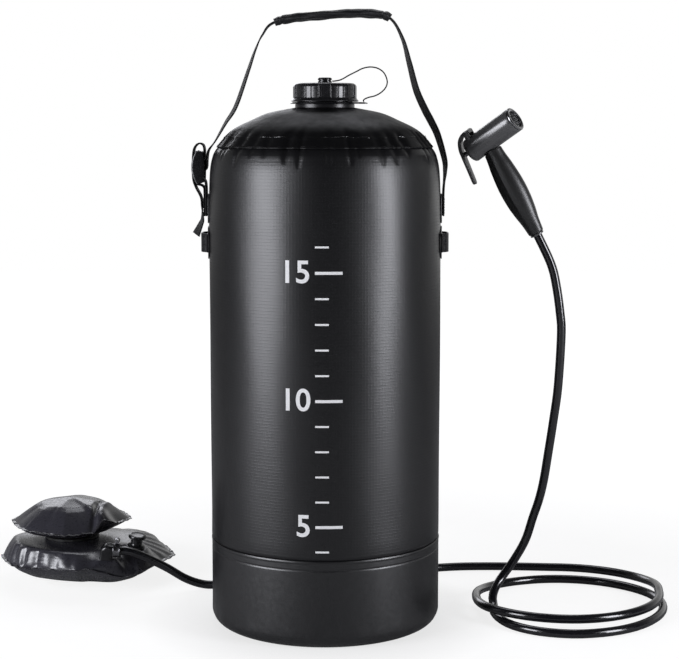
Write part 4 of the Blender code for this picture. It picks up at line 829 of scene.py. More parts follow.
def webbing(name, colour, roughness):
    """Woven tape: ribs across it, shifted by half a rib from one cord to the next."""
    made, tree, shader = principled(name, colour, roughness, 0.25)
    at = uv_lengths(tree)
    cord = sums(tree, "DIVIDE", at.outputs["X"], CORD_W)
    shift = sums(tree, "MULTIPLY", sums(tree, "FLOOR", cord), 0.5)
    rib = sums(tree, "FRACT", sums(tree, "ADD", sums(tree, "DIVIDE", at.outputs["Y"], RIB_L), shift))
    across = sums(tree, "SINE", sums(tree, "MULTIPLY", sums(tree, "FRACT", cord), math.pi))
    along = sums(tree, "SINE", sums(tree, "MULTIPLY", rib, math.pi))
    height = sums(tree, "MULTIPLY", sums(tree, "POWER", across, 0.5), along)
    bump = node(tree, "Bump", {"Height": height, "Distance": 0.00022, "Strength": 1.0})
    tree.links.new(bump.outputs[0], shader.inputs["Normal"])
    # The base colour follows the ribs' height: painted shade in the hollows between them and painted light on
    # their crowns.
    tone = mapped(tree, height, 0.0, 1.0, colour[0] * 0.4, colour[0] * 1.5)
    tree.links.new(grey(tree, tone), shader.inputs["Base Color"])
    return made


webbing_finish = webbing("black_webbing", (0.006, 0.006, 0.006), 0.60)
strap_route = np.array([TAIL_END, *STRAP_LEFT, *STRAP_TOP, *STRAP_RIGHT])
strap_route[:, 2] *= TWIST_UNIT
strap_line = curved(strap_route, 0.0012)
twist = np.radians(strap_line[:, 2:] / TWIST_UNIT)
twist += np.radians(TAIL_TWIST) * ramp(np.arange(len(twist))[:, None], TAIL_STEPS, -TAIL_STEPS)
strap_line = np.array(upright(strap_line[:, :2]))
strap_along = unit(np.gradient(strap_line, axis=0))
level = np.array([0.0, 1.0, 0.0])
strap_across = level * np.cos(twist) + np.cross(strap_along, level) * np.sin(twist)
tape = band_section(STRAP_W, STRAP_T)
strap = skin("carry_strap", swept(strap_line, tape, strap_across), webbing_finish, sharp=0)
settle(strap, "handle", "handle_strap")

anchor_line = curved(upright([(-x, z) for x, z in ANCHOR]), 0.0010)
anchor = skin("anchor_tape", swept(anchor_line, tape), webbing_finish, sharp=0)
settle(anchor, "handle", "left_anchor_webbing")

thread_finish = grained("black_thread", (0.030, 0.030, 0.031), 0.50, 0.08, 2600.0, 0.00003)


def stitches(name, starts, ends, up, body):
    """Short threads from starts to ends, each a four-sided bar that sinks at both ends."""
    t = np.array([0.0, 0.2, 0.8, 1.0])[None, :, None]
    rise = np.array([-0.6, 0.7, 0.7, -0.6])[None, :, None] * THREAD_R
    middle = starts[:, None] * (1 - t) + ends[:, None] * t + up[:, None] * rise
    across = np.cross(unit(ends - starts), up) * THREAD_R
    raised = up * THREAD_R
    corners = np.stack([across, raised, -across, -raised], axis=1)
    points = middle[:, :, None] + corners[:, None]
    base = np.arange(len(starts))[:, None, None, None] * 16
    i, j = np.arange(3)[None, :, None, None] * 4, np.arange(4)[None, None, :, None]
    k = (j + 1) % 4
    faces = np.concatenate([base + i + k, base + i + j, base + i + 4 + j, base + i + 4 + k], axis=3)
    caps = np.concatenate([base[:, 0, 0] + [0, 1, 2, 3], base[:, 0, 0] + [15, 14, 13, 12]])
    mesh = bpy.data.meshes.new(name)
    mesh.from_pydata(points.reshape(-1, 3), [], np.vstack([faces.reshape(-1, 4), caps]).tolist())
    mesh.materials.append(thread_finish)
    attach(placed(name, mesh), body)


def box_of_stitches(corners, step):
    """The starts and ends of stitches round a four-cornered box and along its two diagonals."""
    lines = [(0, 1), (1, 2), (2, 3), (3, 0), (0, 2), (1, 3)]
    starts, ends = [], []
    for a, b in lines:
        a, b = corners[a], corners[b]
        count = max(2, round(np.linalg.norm(b - a) / step))
        t = np.arange(count)[:, None] / count
        starts.append(a + (b - a) * (t + 0.12 / count))
        ends.append(a + (b - a) * (t + 0.88 / count))
    return np.vstack(starts), np.vstack(ends)


for side, word, x in ((1, "right", STRAP_RIGHT[-1][0]), (-1, "left", ANCHOR[-1][0])):
    x = side * (x + STRAP_T / 2)
    corners = np.array([(x, y * STITCH_HALF, STITCH_Z[k]) for y, k in ((-1, 0), (1, 0), (1, 1), (-1, 1))])
    starts, ends = box_of_stitches(corners, STITCH_L)
    up = np.broadcast_to([float(side), 0.0, 0.0], starts.shape)
    stitches(word + "_strap_stitching", starts, ends, up, "handle")


# Grip: a padded sleeve of the same black fabric round the strap. It is folded round it, sewn along its
# underside and hemmed at both ends.
GRIP_END_X = (-0.0505, 0.0647)
GRIP_W = 0.0240
GRIP_T = 0.0088

inside = strap_line[(strap_line[:, 0] > GRIP_END_X[0]) & (strap_line[:, 0] < GRIP_END_X[1])
                    & (strap_line[:, 2] > 0.59)]
at = np.linspace(0.0, 1.0, len(inside))[:, None]
turn = circle(64)[None, :]
square = (abs(np.cos(turn)) ** 2.6 + abs(np.sin(turn)) ** 2.6) ** (-1 / 2.6)
creases = (0.00045 * np.sin(3 * turn + 5 * at + 0.6) * np.sin(9 * at + 1.0)
           + 0.00030 * np.sin(5 * turn - 14 * at)
           + 0.00025 * np.sin(2 * turn + 38 * at + 2 * np.sin(6 * at)))
hem = 0.00035 * (hill(at, 0.035, 0.012) + hill(at, 0.965, 0.012))
hem = hem - 0.0007 * (hill(at, 0.062, 0.008) + hill(at, 0.938, 0.008))
seam = -0.0008 * hill(turn, 1.5 * np.pi, 0.10)
fat = 1 - 0.10 * abs(2 * at - 1) ** 6
across = (GRIP_W / 2 - 0.0005) * square * np.cos(turn) * fat
upward = (GRIP_T / 2 - 0.0003) * square * np.sin(turn) * fat
puff = (creases + hem + seam) * np.ones_like(turn)
grip_section = np.stack([across + puff * np.cos(turn), upward + puff * np.sin(turn)], axis=2)

GRIP_THREAD = 0.0009
grip_finish, tree, shader = principled("grip_fabric", (0.006, 0.006, 0.007), 0.48, Sheen_Weight=0.02)
at = uv_lengths(tree)
waves = [sums(tree, "SINE", sums(tree, "MULTIPLY", at.outputs[way], 2 * math.pi / GRIP_THREAD))
         for way in "XY"]
fine = sums(tree, "MULTIPLY", *waves)
noise, bump = grain(tree, shader, 240.0, 0.00025, 0.48, 0.08)
weave = node(tree, "Bump", {"Height": fine, "Distance": 0.00005, "Strength": 1.0, "Normal": bump.outputs[0]})
tree.links.new(weave.outputs[0], shader.inputs["Normal"])
grip = skin("padded_grip", swept(inside, grip_section), grip_finish, sharp=0)
settle(grip, "handle", "handle_grip")


# Ladder lock: a moulded frame of two rails and four bars. The anchor tape holds its lowest bar, and the
# strap doubles round the bars above.
LOCK_X = -0.1235
LOCK_HALF = 0.0130
LOCK_BARS = ((0.4445, 0.4475), (0.4510, 0.4540), (0.4585, 0.4640), (0.4690, 0.4763))
LOCK_T = 0.0040


def rounded(width, height, radius, parts=5):
    """A rectangle's outline with round corners."""
    corner = np.radians(np.linspace(0.0, 90.0, parts))
    turns = np.concatenate([corner + np.pi / 2 * k for k in range(4)])
    cx = np.repeat([1, -1, -1, 1], parts) * (width / 2 - radius)
    cy = np.repeat([1, 1, -1, -1], parts) * (height / 2 - radius)
    return np.stack([cx + radius * np.cos(turns), cy + radius * np.sin(turns)], axis=1)


bars = []
for low, high in LOCK_BARS:
    line = [(LOCK_X, y, (low + high) / 2) for y in np.linspace(-LOCK_HALF + 0.0010, LOCK_HALF - 0.0010, 5)]
    bars.append(skin("lock_bar", swept(line, rounded(high - low, LOCK_T * 0.9, 0.0012), (0.0, 0.0, 1.0)),
                     satin_finish))
for y in (-LOCK_HALF + 0.0012, LOCK_HALF - 0.0012):
    t = np.linspace(0.0, 1.0, 21)
    depth = 0.0052 + 0.0078 * np.sin(np.pi * (0.08 + 0.84 * t)) ** 0.8
    line = np.stack([LOCK_X - 0.0022 * np.sin(np.pi * t), np.full(21, y),
                     LOCK_BARS[0][0] + 0.0002 + t * (LOCK_BARS[-1][1] - LOCK_BARS[0][0] - 0.0004)], axis=1)
    rail = rounded(0.0024, LOCK_T, 0.0009)[None] * np.stack([np.ones(21), depth / LOCK_T], axis=1)[:, None]
    bars.append(skin("lock_rail", swept(line, rail), satin_finish))
lock = joined("ladder_lock_moulding", bars)
settle(lock, "handle", "ladder_lock")


# Patches and holder loops: pieces of the smooth film, welded on. The strap's ends are sewn to the upper
# patches, and the loops on the oval ones hold the shower head.
PATCH_T = 0.0010
ANCHOR_PATCH = (0.0160, 0.4050, 0.4340)
LOOP_PATCH = (0.0240, 0.3690, 0.4020)
LOOP_H = 0.0190
LOOP_Z = 0.3860
LOOP_T = 0.0012
LOOP_OUT = 0.0052
LOOP_SHAPE = ((1.0, 0.0), (1.0, 0.0050), (0.88, 0.0095), (0.42, 0.0135))
LOOP_FOOT = (0.0170, 0.0210)

film_finish = grained("weld_film", (0.0080, 0.0080, 0.0088), 0.30, 0.06, 300.0, 0.00005, 0.6)
# The rows of a patch, from its back round its edge and over its weld line: share of its reach and of
# its thickness.
PATCH_SHARE = (0.05, 0.5, 0.985, 1.0, 0.995, 0.975, 0.945, 0.930, 0.915, 0.895, 0.6, 0.3, 0.05)
PATCH_OUT = (0.0, 0.0, 0.0, 0.35, 0.8, 1.0, 1.0, 0.65, 0.65, 1.0, 1.0, 1.0, 1.0)


def patch(name, side, half_y, low, high, power):
    """A patch on the wall: rings of a superellipse of a power, from its back over its edge to the middle
    of its face. A weld line is pressed in just inside the edge."""
    angle = circle(120)
    x = np.sign(np.cos(angle)) * abs(np.cos(angle)) ** (2 / power)
    z = np.sign(np.sin(angle)) * abs(np.sin(angle)) ** (2 / power)
    share = np.array(PATCH_SHARE)[:, None]
    out = np.array(PATCH_OUT)[:, None] * PATCH_T
    turn = np.arcsin(share * x * half_y / BAG_R)
    height = (low + high) / 2 + share * z * (high - low) / 2
    radius = BAG_R + GAP + out + wall_out(polar(side * BAG_R, turn, height))
    return skin(name, polar(side * radius, turn, height), film_finish, sharp=50)


for side, word in ((-1, "left"), (1, "right")):
    settle(patch(word + "_strap_patch", side, *ANCHOR_PATCH, 6.0), "bag", word + "_handle_patch")
    settle(patch(word + "_oval_patch", side, *LOOP_PATCH, 2.4), "bag", word + "_loop_patch")
    foot = BAG_R + GAP + PATCH_T + GAP + LOOP_T / 2
    half = [(foot + LOOP_OUT * share, y) for share, y in LOOP_SHAPE]
    half += [(math.sqrt(foot ** 2 - y ** 2), y) for y in LOOP_FOOT]
    route = [(side * x, -y, LOOP_Z) for x, y in reversed(half[1:])] + [(side * x, y, LOOP_Z) for x, y in half]
    loop = swept(curved(route, 0.0010), band_section(LOOP_H, LOOP_T), (0.0, 0.0, 1.0))
    settle(skin(word + "_loop_band", loop, film_finish, sharp=60), "bag", word + "_holder_loop")


# Foot pump: two eight-sided cushions of soft vinyl, each two flat sheets welded together at the rim and
# blown up by the foam or air inside, so the rim draws in and gathers. The upper one is trodden on.
BLADDER = (-0.2665, 0.1560)
BLADDER_HALF = 0.0985
BLADDER_Z = (0.0, 0.0300, 0.0460)
CUSHION = (-0.2840, 0.1560)
CUSHION_HALF = 0.0670
CUSHION_Z = (0.0490, 0.0640, 0.0905)
SHEET_CELLS = 64
FLAT_SHARE = 1.10
MOST_MOVED = 0.055
BLOW_FRAMES = 20
CLOTH = {"quality": 6, "mass": 0.25, "tension_stiffness": 60.0, "compression_stiffness": 40.0,
         "shear_stiffness": 20.0, "bending_stiffness": 0.05, "air_damping": 6.0, "use_pressure": True}
LIP = ((-0.0012, 0.0007), (0.0014, 0.0005), (0.0024, 0.0002), (0.0024, -0.0002), (0.0014, -0.0005),
       (-0.0012, -0.0007))
BLADDER_RIM = ((-180, 0.0240), (-142, 0.0262), (-117, 0.0300), (-96, 0.0310), (-81, 0.0325), (-69, 0.0255),
               (-58, 0.0190), (-50, 0.0205), (-41, 0.0229), (-28, 0.0252), (0, 0.0240), (90, 0.0280))
CUSHION_RIM = ((-180, 0.0643), (-131, 0.0637), (-78, 0.0617), (-59, 0.0635), (-54, 0.0665), (-50, 0.0735),
               (-41, 0.0728), (-27, 0.0672), (0, 0.0659), (90, 0.0650))
# The lower cushion's steep front: by share of its reach, how high it is and how far out it stands.
STEEP_AT = (0.0, 0.30, 0.46, 0.54, 0.60, 0.66, 0.79, 0.91, 1.0)
STEEP_HIGH = (1.0, 1.0, 1.06, 1.15, 1.20, 1.12, 0.74, 0.36, 0.0)
STEEP_OUT = (0.0, 0.42, 0.70, 0.81, 0.880, 0.920, 0.960, 0.985, 1.0)
GATHER_STEP = 11.8
GATHER_RISE = 0.78
GATHER_FALL = 0.22
# The upper cushion's low pyramid: by share of its reach, how high it is.
PYRAMID_AT = (0.0, 0.12, 0.30, 0.50, 0.62, 0.80, 0.93, 1.0)
PYRAMID_HIGH = (1.0, 0.975, 0.905, 0.83, 0.70, 0.38, 0.13, 0.0)
# The feet of the intake and the elbow on the lower cushion: middle, way and radius.
FEET = (((-0.2080, 0.1150, 0.0434), (0.1407, -0.1266, 0.9819), 0.0110),
        ((-0.2360, 0.0800, 0.0412), (0.0894, -0.2497, 0.9642), 0.0090))


def sheets(cells, radius, bulge):
    """Two sheets of a square grid, laid out to an octagon and joined at the rim. A grid point goes to a
    disc, and its distance is multiplied by the octagon's radius at its angle."""
    line = np.linspace(-1.0, 1.0, cells + 1)
    u, v = np.meshgrid(line, line, indexing="ij")
    x, y = u * np.sqrt(1 - v ** 2 / 2), v * np.sqrt(1 - u ** 2 / 2)
    angle, flat = np.arctan2(y, x), np.hypot(x, y)
    off = angle % (np.pi / 4) - np.pi / 8
    reach = radius * (0.66 * math.cos(np.pi / 8) / np.cos(off) + 0.34)
    plan = np.stack([flat * reach * np.cos(angle), flat * reach * np.sin(angle)], axis=2)
    rise = bulge * (1 - flat ** 2)
    top = np.dstack([plan, rise]).reshape(-1, 3)
    edge = (abs(u) == 1) | (abs(v) == 1)
    number = np.arange((cells + 1) ** 2).reshape(cells + 1, cells + 1)
    under = np.where(edge, number, 0)
    under[~edge] = number.size + np.arange((~edge).sum())
    points = np.vstack([top, top[~edge.ravel()] * (1, 1, -1)])

    def quads(grid):
        """The cells of a grid of point numbers."""
        return np.stack([grid[:-1, :-1], grid[1:, :-1], grid[1:, 1:], grid[:-1, 1:]], axis=2).reshape(-1, 4)

    loop = np.concatenate([number[:-1, 0], number[-1, :-1], number[:0:-1, -1], number[0, :0:-1]])
    return points, np.vstack([quads(number), quads(under)[:, ::-1]]), loop, number.size


def blown(points, faces, pressure):
    """The points after cloth simulation: air presses on the inside, without gravity."""
    mesh = bpy.data.meshes.new("blown")
    mesh.from_pydata(points, [], faces.tolist())
    trial = placed("blown", mesh)
    cloth = trial.modifiers.new("cloth", "CLOTH")
    for setting, value in CLOTH.items():
        setattr(cloth.settings, setting, value)
    cloth.settings.uniform_pressure_force = pressure
    cloth.settings.effector_weights.gravity = 0.0
    cloth.collision_settings.use_collision = False
    cloth.point_cache.frame_end = BLOW_FRAMES
    for step in range(1, BLOW_FRAMES + 1):
        scene.frame_set(step)
    held = bpy.data.meshes.new_from_object(trial.evaluated_get(bpy.context.evaluated_depsgraph_get()))
    result = np.empty(len(points) * 3)
    held.vertices.foreach_get("co", result)
    scene.frame_set(1)
    bpy.data.objects.remove(trial)
    bpy.data.meshes.remove(held)
    return result.reshape(-1, 3)


def bell(angle, at, wide):
    """A hill round an angle in degrees."""
    return hill((np.degrees(angle) - at + 180.0) % 360.0 - 180.0, 0.0, wide)


def air_cushion(name, centre, half, heights, shaped, feet=()):
    """A cushion blown from sheets and fitted to its place: its rim to a reach of half, its two faces to
    their heights. shaped adds what the photographed one shows: out and up by angle and share of reach.
    Each of feet is the middle, way and radius of a fitting's foot, which the upper sheet lies flat under."""
    points, faces, loop, upper = sheets(SHEET_CELLS, half * FLAT_SHARE, half * 0.08)
    start = points.copy()
    points = blown(points, faces, 4.0)
    moved = points - start
    far = np.linalg.norm(moved, axis=1, keepdims=True)
    points = start + moved * np.minimum(1.0, MOST_MOVED / np.maximum(far, 1e-9))
    reach = np.linalg.norm(points[loop, :2], axis=1).max()
    points[:, :2] *= half * 0.968 / reach
    low, rim, high = heights
    middle = points[loop, 2].mean()
    z = points[:, 2] - middle
    lift = np.where(z > 0, z / z.max(), z / z.min())
    angle = np.arctan2(points[:, 1], points[:, 0])
    order = np.argsort(angle[loop])
    edge = np.linalg.norm(points[loop, :2], axis=1)
    edge_at = np.interp(angle, angle[loop][order], edge[order], period=2 * np.pi)
    share = np.clip(np.linalg.norm(points[:, :2], axis=1) / edge_at, 0, 1)
    is_top = np.arange(len(points)) < upper
    z, out = shaped(angle, share, is_top, lift, heights)
    points[:, :2] *= 1 + out[:, None] / np.maximum(np.linalg.norm(points[:, :2], axis=1, keepdims=True), 0.01)
    z = np.maximum(z, low)
    for (x, y, height), way, radius in feet:
        off_x, off_y = points[:, 0] + centre[0] - x, points[:, 1] + centre[1] - y
        level = height - (off_x * way[0] + off_y * way[1]) / way[2]
        near = ramp(np.hypot(off_x, off_y) - radius, 0.014, -0.014)
        z = z + smooth(near) * is_top * ramp(share, 1.0, -0.035) * (level - z)
    final = np.stack([points[:, 0] + centre[0], points[:, 1] + centre[1], z], axis=1)
    mesh = bpy.data.meshes.new(name)
    mesh.from_pydata(final, [], faces.tolist())
    mesh.polygons.foreach_set("use_smooth", [True] * len(mesh.polygons))
    mesh.materials.append(vinyl_finish)
    made = placed(name, mesh)
    finer = made.modifiers.new("finer", "SUBSURF")
    finer.levels = finer.render_levels = 1
    line = final[loop]
    outward = unit((line - (*centre, 0.0)) * (1, 1, 0))
    lips, up = np.array(LIP), np.array([0.0, 0.0, 1.0])
    waves = 0.0006 * np.sin(np.arange(len(line)) * 0.9) * np.sin(np.arange(len(line)) * 0.23)
    line = line + up * waves[:, None]
    lip = line[:, None] + outward[:, None] * lips[None, :, :1] + up * lips[None, :, 1:]
    lip[..., 2] = np.clip(lip[..., 2], low + 0.0003, high)
    return made, skin(name + "_rim", lip, rim_finish, ends_close=True, sharp=50)


vinyl_finish = grained("soft_vinyl", (0.0350, 0.0340, 0.0430), 0.30, 0.05, 300.0, 0.00002, 1.0, detail=2.0)
rim_finish = grained("welded_rim", (0.0300, 0.0290, 0.0340), 0.24, 0.05, 700.0, 0.00005, 0.65)


def level_at(angle, levels):
    """Heights of a rim read at angles in degrees from a list of (angle, height), eased between."""
    at, height = np.array(levels).T
    fine = np.linspace(-180.0, 180.0, 181)
    line = np.interp(fine, at, height, period=360.0)
    line = np.convolve(np.concatenate([line[-3:-1], line, line[1:3]]), (0.1, 0.2, 0.4, 0.2, 0.1), "valid")
    return np.interp(np.degrees(angle), fine, line)


def bladder_shape(angle, share, is_top, lift, heights):
    """The lower cushion: its rim follows BLADDER_RIM. At the front and left the upper sheet stands up
    steeply from it, with sawtooth gathers down that wall, and the lower sheet is a shallow bowl."""
    low, _, high = heights
    rim = level_at(angle, BLADDER_RIM)
    turn = np.degrees(angle)
    steep = np.clip(bell(angle, -118.0, 50.0) + 0.55 * bell(angle, 175.0, 40.0), 0, 1)
    wall = np.interp(share, STEEP_AT, STEEP_HIGH)
    reach = np.interp(share, STEEP_AT, STEEP_OUT)
    top = rim + (high - rim) * (lift * (1 - steep) + wall * steep)
    under = rim - (rim - low) * (0.35 * lift + 0.65 * (1 - share ** 2.2))
    front_left = np.clip(2.0 * bell(angle, -124.0, 27.0), 0, 1)
    down = ramp(share, 0.60, 0.40)
    phase = ((turn + 152.0) / GATHER_STEP) % 1.0
    faced = np.radians(np.clip(-110.0 - (turn - phase * GATHER_STEP + GATHER_STEP / 2), -6.0, 20.0))
    back = (phase - GATHER_RISE) / GATHER_FALL
    tooth = np.where(phase < GATHER_RISE, 0.5 - phase / GATHER_RISE, back - 0.5)
    folds = np.tan(faced) * 0.020 * tooth
    folds = folds - 0.0014 * np.clip(abs(phase / (GATHER_RISE / 2) - 1), 0, 1) ** 2
    fine = 0.5 - 0.5 * np.cos(turn * 0.47 + 2.0 * np.sin(angle * 3))
    deep = ramp(down, 0.0, 0.22) * ramp(down, 1.0, -0.10)
    out = is_top * ((reach - share) * BLADDER_HALF * steep + deep * (folds + 0.0012) * front_left)
    z = np.where(is_top, top - deep * 0.0012 * fine * (1 - steep), under)
    return z, out


def cushion_shape(angle, share, is_top, lift, heights):
    """The upper cushion: its rim follows CUSHION_RIM, its top is a low pyramid with rounded shoulders, and
    one sharp tuck at the front right runs in from the lifted rim with a puffed fold beside it."""
    low, _, high = heights
    rim = level_at(angle, CUSHION_RIM)
    slope = np.interp(share, PYRAMID_AT, PYRAMID_HIGH)
    facets = 1 - 0.06 * np.abs(np.sin(angle * 2 + 0.5)) * np.sin(np.clip(share, 0, 1) * np.pi)
    top = rim + (high - rim) * (0.10 * lift + 0.90 * slope) * facets
    under = rim - (rim - low) * (0.5 * lift + 0.5 * (1 - share ** 2.5))
    outer = ramp(share, 0.42, 0.58)
    aside, front = share * np.cos(angle), np.sin(angle) < 0
    tuck, fold = front * hill(aside, 0.50, 0.040), front * hill(aside, 0.66, 0.10)
    top = top + np.sin(outer * np.pi * 0.9) * (0.0034 * fold - 0.0058 * tuck)
    pleat = bell(angle, -160.0, 7.0) + bell(angle, -112.0, 5.0)
    top = top - 0.0010 * pleat * np.sin(outer * np.pi)
    out = -0.0040 * bell(angle, -46.0, 9.0) * outer ** 3 - 0.0020 * bell(angle, -22.0, 12.0) * outer ** 2
    return np.where(is_top, top, under), out


def pressed(piece):
    """A piece is given its own copy of its mesh."""
    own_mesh(piece)


for piece in air_cushion("lower_cushion", BLADDER, BLADDER_HALF, BLADDER_Z, bladder_shape, FEET):
    settle(piece, "bag", "pump_bladder")
for piece in air_cushion("upper_cushion", CUSHION, CUSHION_HALF, CUSHION_Z, cushion_shape):
    settle(piece, "bag", "pump_cushion")
    pressed(piece)
dress(rubber_finish, "pump_joining_ring")

foam_finish, tree, shader = principled("open_foam", (0.28, 0.28, 0.30), 0.95)
noise, bump = grain(tree, shader, 1400.0, 0.00050)
tree.links.new(grey(tree, mapped(tree, noise, 0.35, 0.65, 0.12, 0.36)), shader.inputs["Base Color"])
foam_line = [(0.0005, 0.0530), (0.0300, 0.0530), (0.0318, 0.0545), (0.0322, 0.0600), (0.0316, 0.0700),
             (0.0290, 0.0745), (0.0230, 0.0775), (0.0005, 0.0790)]
foam = skin("spring_foam", turned(foam_line, 96) + np.array((*CUSHION, 0.0)), foam_finish, sharp=60)
settle(foam, "bag", "pump_foam")
pressed(foam)


# Valve and fittings of the pump: a moulded intake with a hinged lid on the lower cushion, and the elbow
# that the hose is clamped on. Both are welded to the vinyl on a round foot.
INTAKE = ((-0.2080, 0.1150, 0.04262), (0.98989, 0.0, -0.14184), (0.01796, 0.99195, 0.12534),
          (0.1407, -0.12662, 0.98192))


def framed(points, base):
    """Points of a local frame put into the object's: the origin and x, y and z ways of the frame."""
    origin, x, y, z = (np.array(v) for v in base)
    return origin + points[..., :1] * unit(x) + points[..., 1:2] * unit(y) + points[..., 2:] * unit(z)


def base_at(origin, z, side=(0.0, 0.0, 1.0)):
    """A frame with z along a way and y near side."""
    z = unit(np.array(z, float))
    x = unit(np.cross(side, z))
    return origin, x, np.cross(z, x), z


def lathe(name, section, base, finish, columns=96, closed=False, sharp=35.0):
    """A section of (radius, height) points turned about a frame's z."""
    return skin(name, framed(turned(section, columns), base), finish, ends_close=closed, sharp=sharp)


lid_line = [(0.0005, 0.0093), (0.0026, 0.0093), (0.0028, 0.0095), (0.0028, 0.0123), (0.0092, 0.0123),
            (0.0095, 0.0126), (0.0095, 0.0148), (0.0092, 0.0154), (0.0084, 0.0158), (0.0070, 0.0159),
            (0.0066, 0.0155), (0.0060, 0.0154), (0.0005, 0.0156)]
lid = lathe("intake_lid", lid_line, INTAKE, satin_finish)
settle(lid, "pump_intake_cap", "pump_intake_cap")
seat_line = [(0.0040, 0.0120), (0.0058, 0.0120), (0.0062, 0.0117), (0.0062, 0.0064), (0.0064, 0.0056),
             (0.0072, 0.0045), (0.0090, 0.0039), (0.0095, 0.0034), (0.0095, 0.0009), (0.0020, 0.0009),
             (0.0020, 0.0049), (0.0040, 0.0049)]
seat = lathe("intake_neck", seat_line, INTAKE, satin_finish, closed=True)
settle(seat, "bag", "pump_intake_seat")
dress(rubber_finish, "pump_intake_flap", "valve_seal", "air_check_valve")


# Elbows, nuts and clamps: a moulded elbow on each of the three outlets, a ribbed nut on the two through
# the bag's wall, and a stainless band clamp with its screw on each hose end.
SPIGOT_R = 0.0062
NECKED = 0.92
TAIL_L = 0.0220
PORTS = (("outlet", 1, (0.9295, 0.1999, -0.3098)), ("air", -1, (-0.9299, -0.2700, -0.2500)))
PORT_TURN = 10.5
PORT_Z = 0.030
CORNER_OUT = 0.0200
NUT_COLUMNS = 240
NUT_RIBS = 20
RIB_DEPTH = 0.00035
PUMP_FOOT = (-0.2360, 0.0800, 0.04101)
PUMP_WAY = (0.08943, -0.24965, 0.9642)
PUMP_CORNER = (-0.23511, 0.0775, 0.05065)
PUMP_TAIL = (0.9944, 0.0303, -0.1010)
PUMP_TAIL_L = 0.0160
PUMP_PIPE_R = 0.0068

steel_finish = grained("stainless", (0.24, 0.24, 0.25), 0.26, 0.07, 300.0, 0.00002, stretch=(1.0, 1.0, 6.0),
                       Metallic=1.0)
gloss_finish = grained("glossy_moulding", (0.008, 0.008, 0.009), 0.20, 0.05, 500.0, 0.00002, 0.6)


def elbow(name, base, foot, reach, tail, tail_length, radius, bend=0.80, outline=round_section(1.0, 48)):
    """A bent pipe swept from a foot along a frame's z, round a tight bend and out along a tail, with a
    bead at its foot and one where the hose stops."""
    origin, _, _, z = (np.array(v, float) for v in base)
    way = unit(np.array(tail, float))
    corner = origin + unit(z) * reach
    bend = radius * bend
    a, b = corner - unit(z) * bend, corner + way * bend
    t = np.linspace(0.0, 1.0, 12)[:, None]
    arc = (1 - t) ** 2 * a + 2 * t * (1 - t) * corner + t ** 2 * b
    start = np.linspace(0.0, 1.0, 7)[:-1, None]
    first = (origin + unit(z) * foot) * (1 - start) + a * start
    last = b + way * (tail_length - bend) * np.linspace(0.0, 1.0, 14)[1:, None]
    line = np.vstack([first, arc, last])
    share = np.concatenate([np.full(18, 1.0), np.full(13, NECKED)])
    share[0] = share[1] = 1.06
    share[18] = 1.0
    section = outline[None] * (radius * share)[:, None, None]
    return skin(name, swept(line, section, np.cross(unit(z), way)), gloss_finish, sharp=40)


def clamp(name, corner, tail, tail_length, radius):
    """A band clamp near a tail's end: a thin hoop with rolled edges and a slotted screw housing on it."""
    base = base_at(corner, tail)
    high = tail_length - 0.0015
    low = high - 0.0070
    r, out = radius + GAP, radius + GAP + 0.0010
    hoop = [(r, low), (r, high), (out - 0.0001, high), (out, high - 0.0003), (out - 0.0002, high - 0.0009),
            (out - 0.0002, low + 0.0009), (out, low + 0.0003), (out - 0.0001, low)]
    band = lathe(name + "_band", hoop, base, steel_finish, closed=True, sharp=25)
    origin, x, y, z = base
    _, x, y, z = base
    centre = np.array(corner) + unit(z) * (low + high) / 2 + unit(y) * (out + GAP + 0.0026)
    across = (tuple(centre), tuple(y), tuple(z), tuple(x))
    screw_line = [(0.0004, -0.0060), (0.0014, -0.0060), (0.0014, -0.0045), (0.0021, -0.0044),
                  (0.0021, 0.0030), (0.0026, 0.0032), (0.0026, 0.0056), (0.0023, 0.0060), (0.0012, 0.0060),
                  (0.0012, 0.0052), (0.0004, 0.0052)]
    screw = lathe(name + "_screw", screw_line, across, steel_finish, columns=48)
    settle(band, "bag", name + "_clamp_band")
    settle(screw, "bag", name + "_clamp_screw")


flange_line = [(0.0035, 0.0103), (0.0068, 0.0103), (0.0070, 0.0100), (0.0070, 0.0026), (0.0072, 0.0023),
               (0.0126, 0.0022), (0.0130, 0.0018), (0.0130, 0.0003), (0.0060, 0.0003), (0.0060, -0.0110),
               (0.0035, -0.0110)]
nut_line = [(0.0073, 0.0027), (0.0073, 0.0095), (0.0098, 0.0095), (0.0106, 0.0089), (0.0108, 0.0084),
            (0.0108, 0.0038), (0.0106, 0.0033), (0.0098, 0.0027)]
nut_points = turned(nut_line, NUT_COLUMNS)
ribbing = np.cos(np.arange(NUT_COLUMNS) / NUT_COLUMNS * 2 * np.pi * NUT_RIBS)
on_rim = (np.hypot(nut_points[..., 0], nut_points[..., 1]) > 0.0104) * RIB_DEPTH
nut_points = pushed(nut_points, on_rim * (ribbing - 1))
for word, side, tail in PORTS:
    angle = math.radians(PORT_TURN) * side
    way = (math.sin(angle), math.cos(angle), 0.0)
    base = base_at((BAG_R * way[0], BAG_R * way[1], PORT_Z), way)
    flange = lathe(word + "_foot", flange_line, base, gloss_finish, closed=True)
    nut = skin(word + "_ribbed_nut", framed(nut_points, base), satin_finish, ends_close=True, sharp=40)
    body = elbow(word + "_bend", base, 0.0106, CORNER_OUT, tail, TAIL_L, SPIGOT_R)
    settle(flange, "bag", word + "_flange")
    settle(nut, word + "_nut", word + "_nut")
    settle(body, "bag", word + "_elbow")
    corner = np.array(base[0]) + unit(np.array(way)) * CORNER_OUT
    clamp(word, tuple(corner), tail, TAIL_L, SPIGOT_R * NECKED)
    dress(moulded_finish, word + "_locknut")

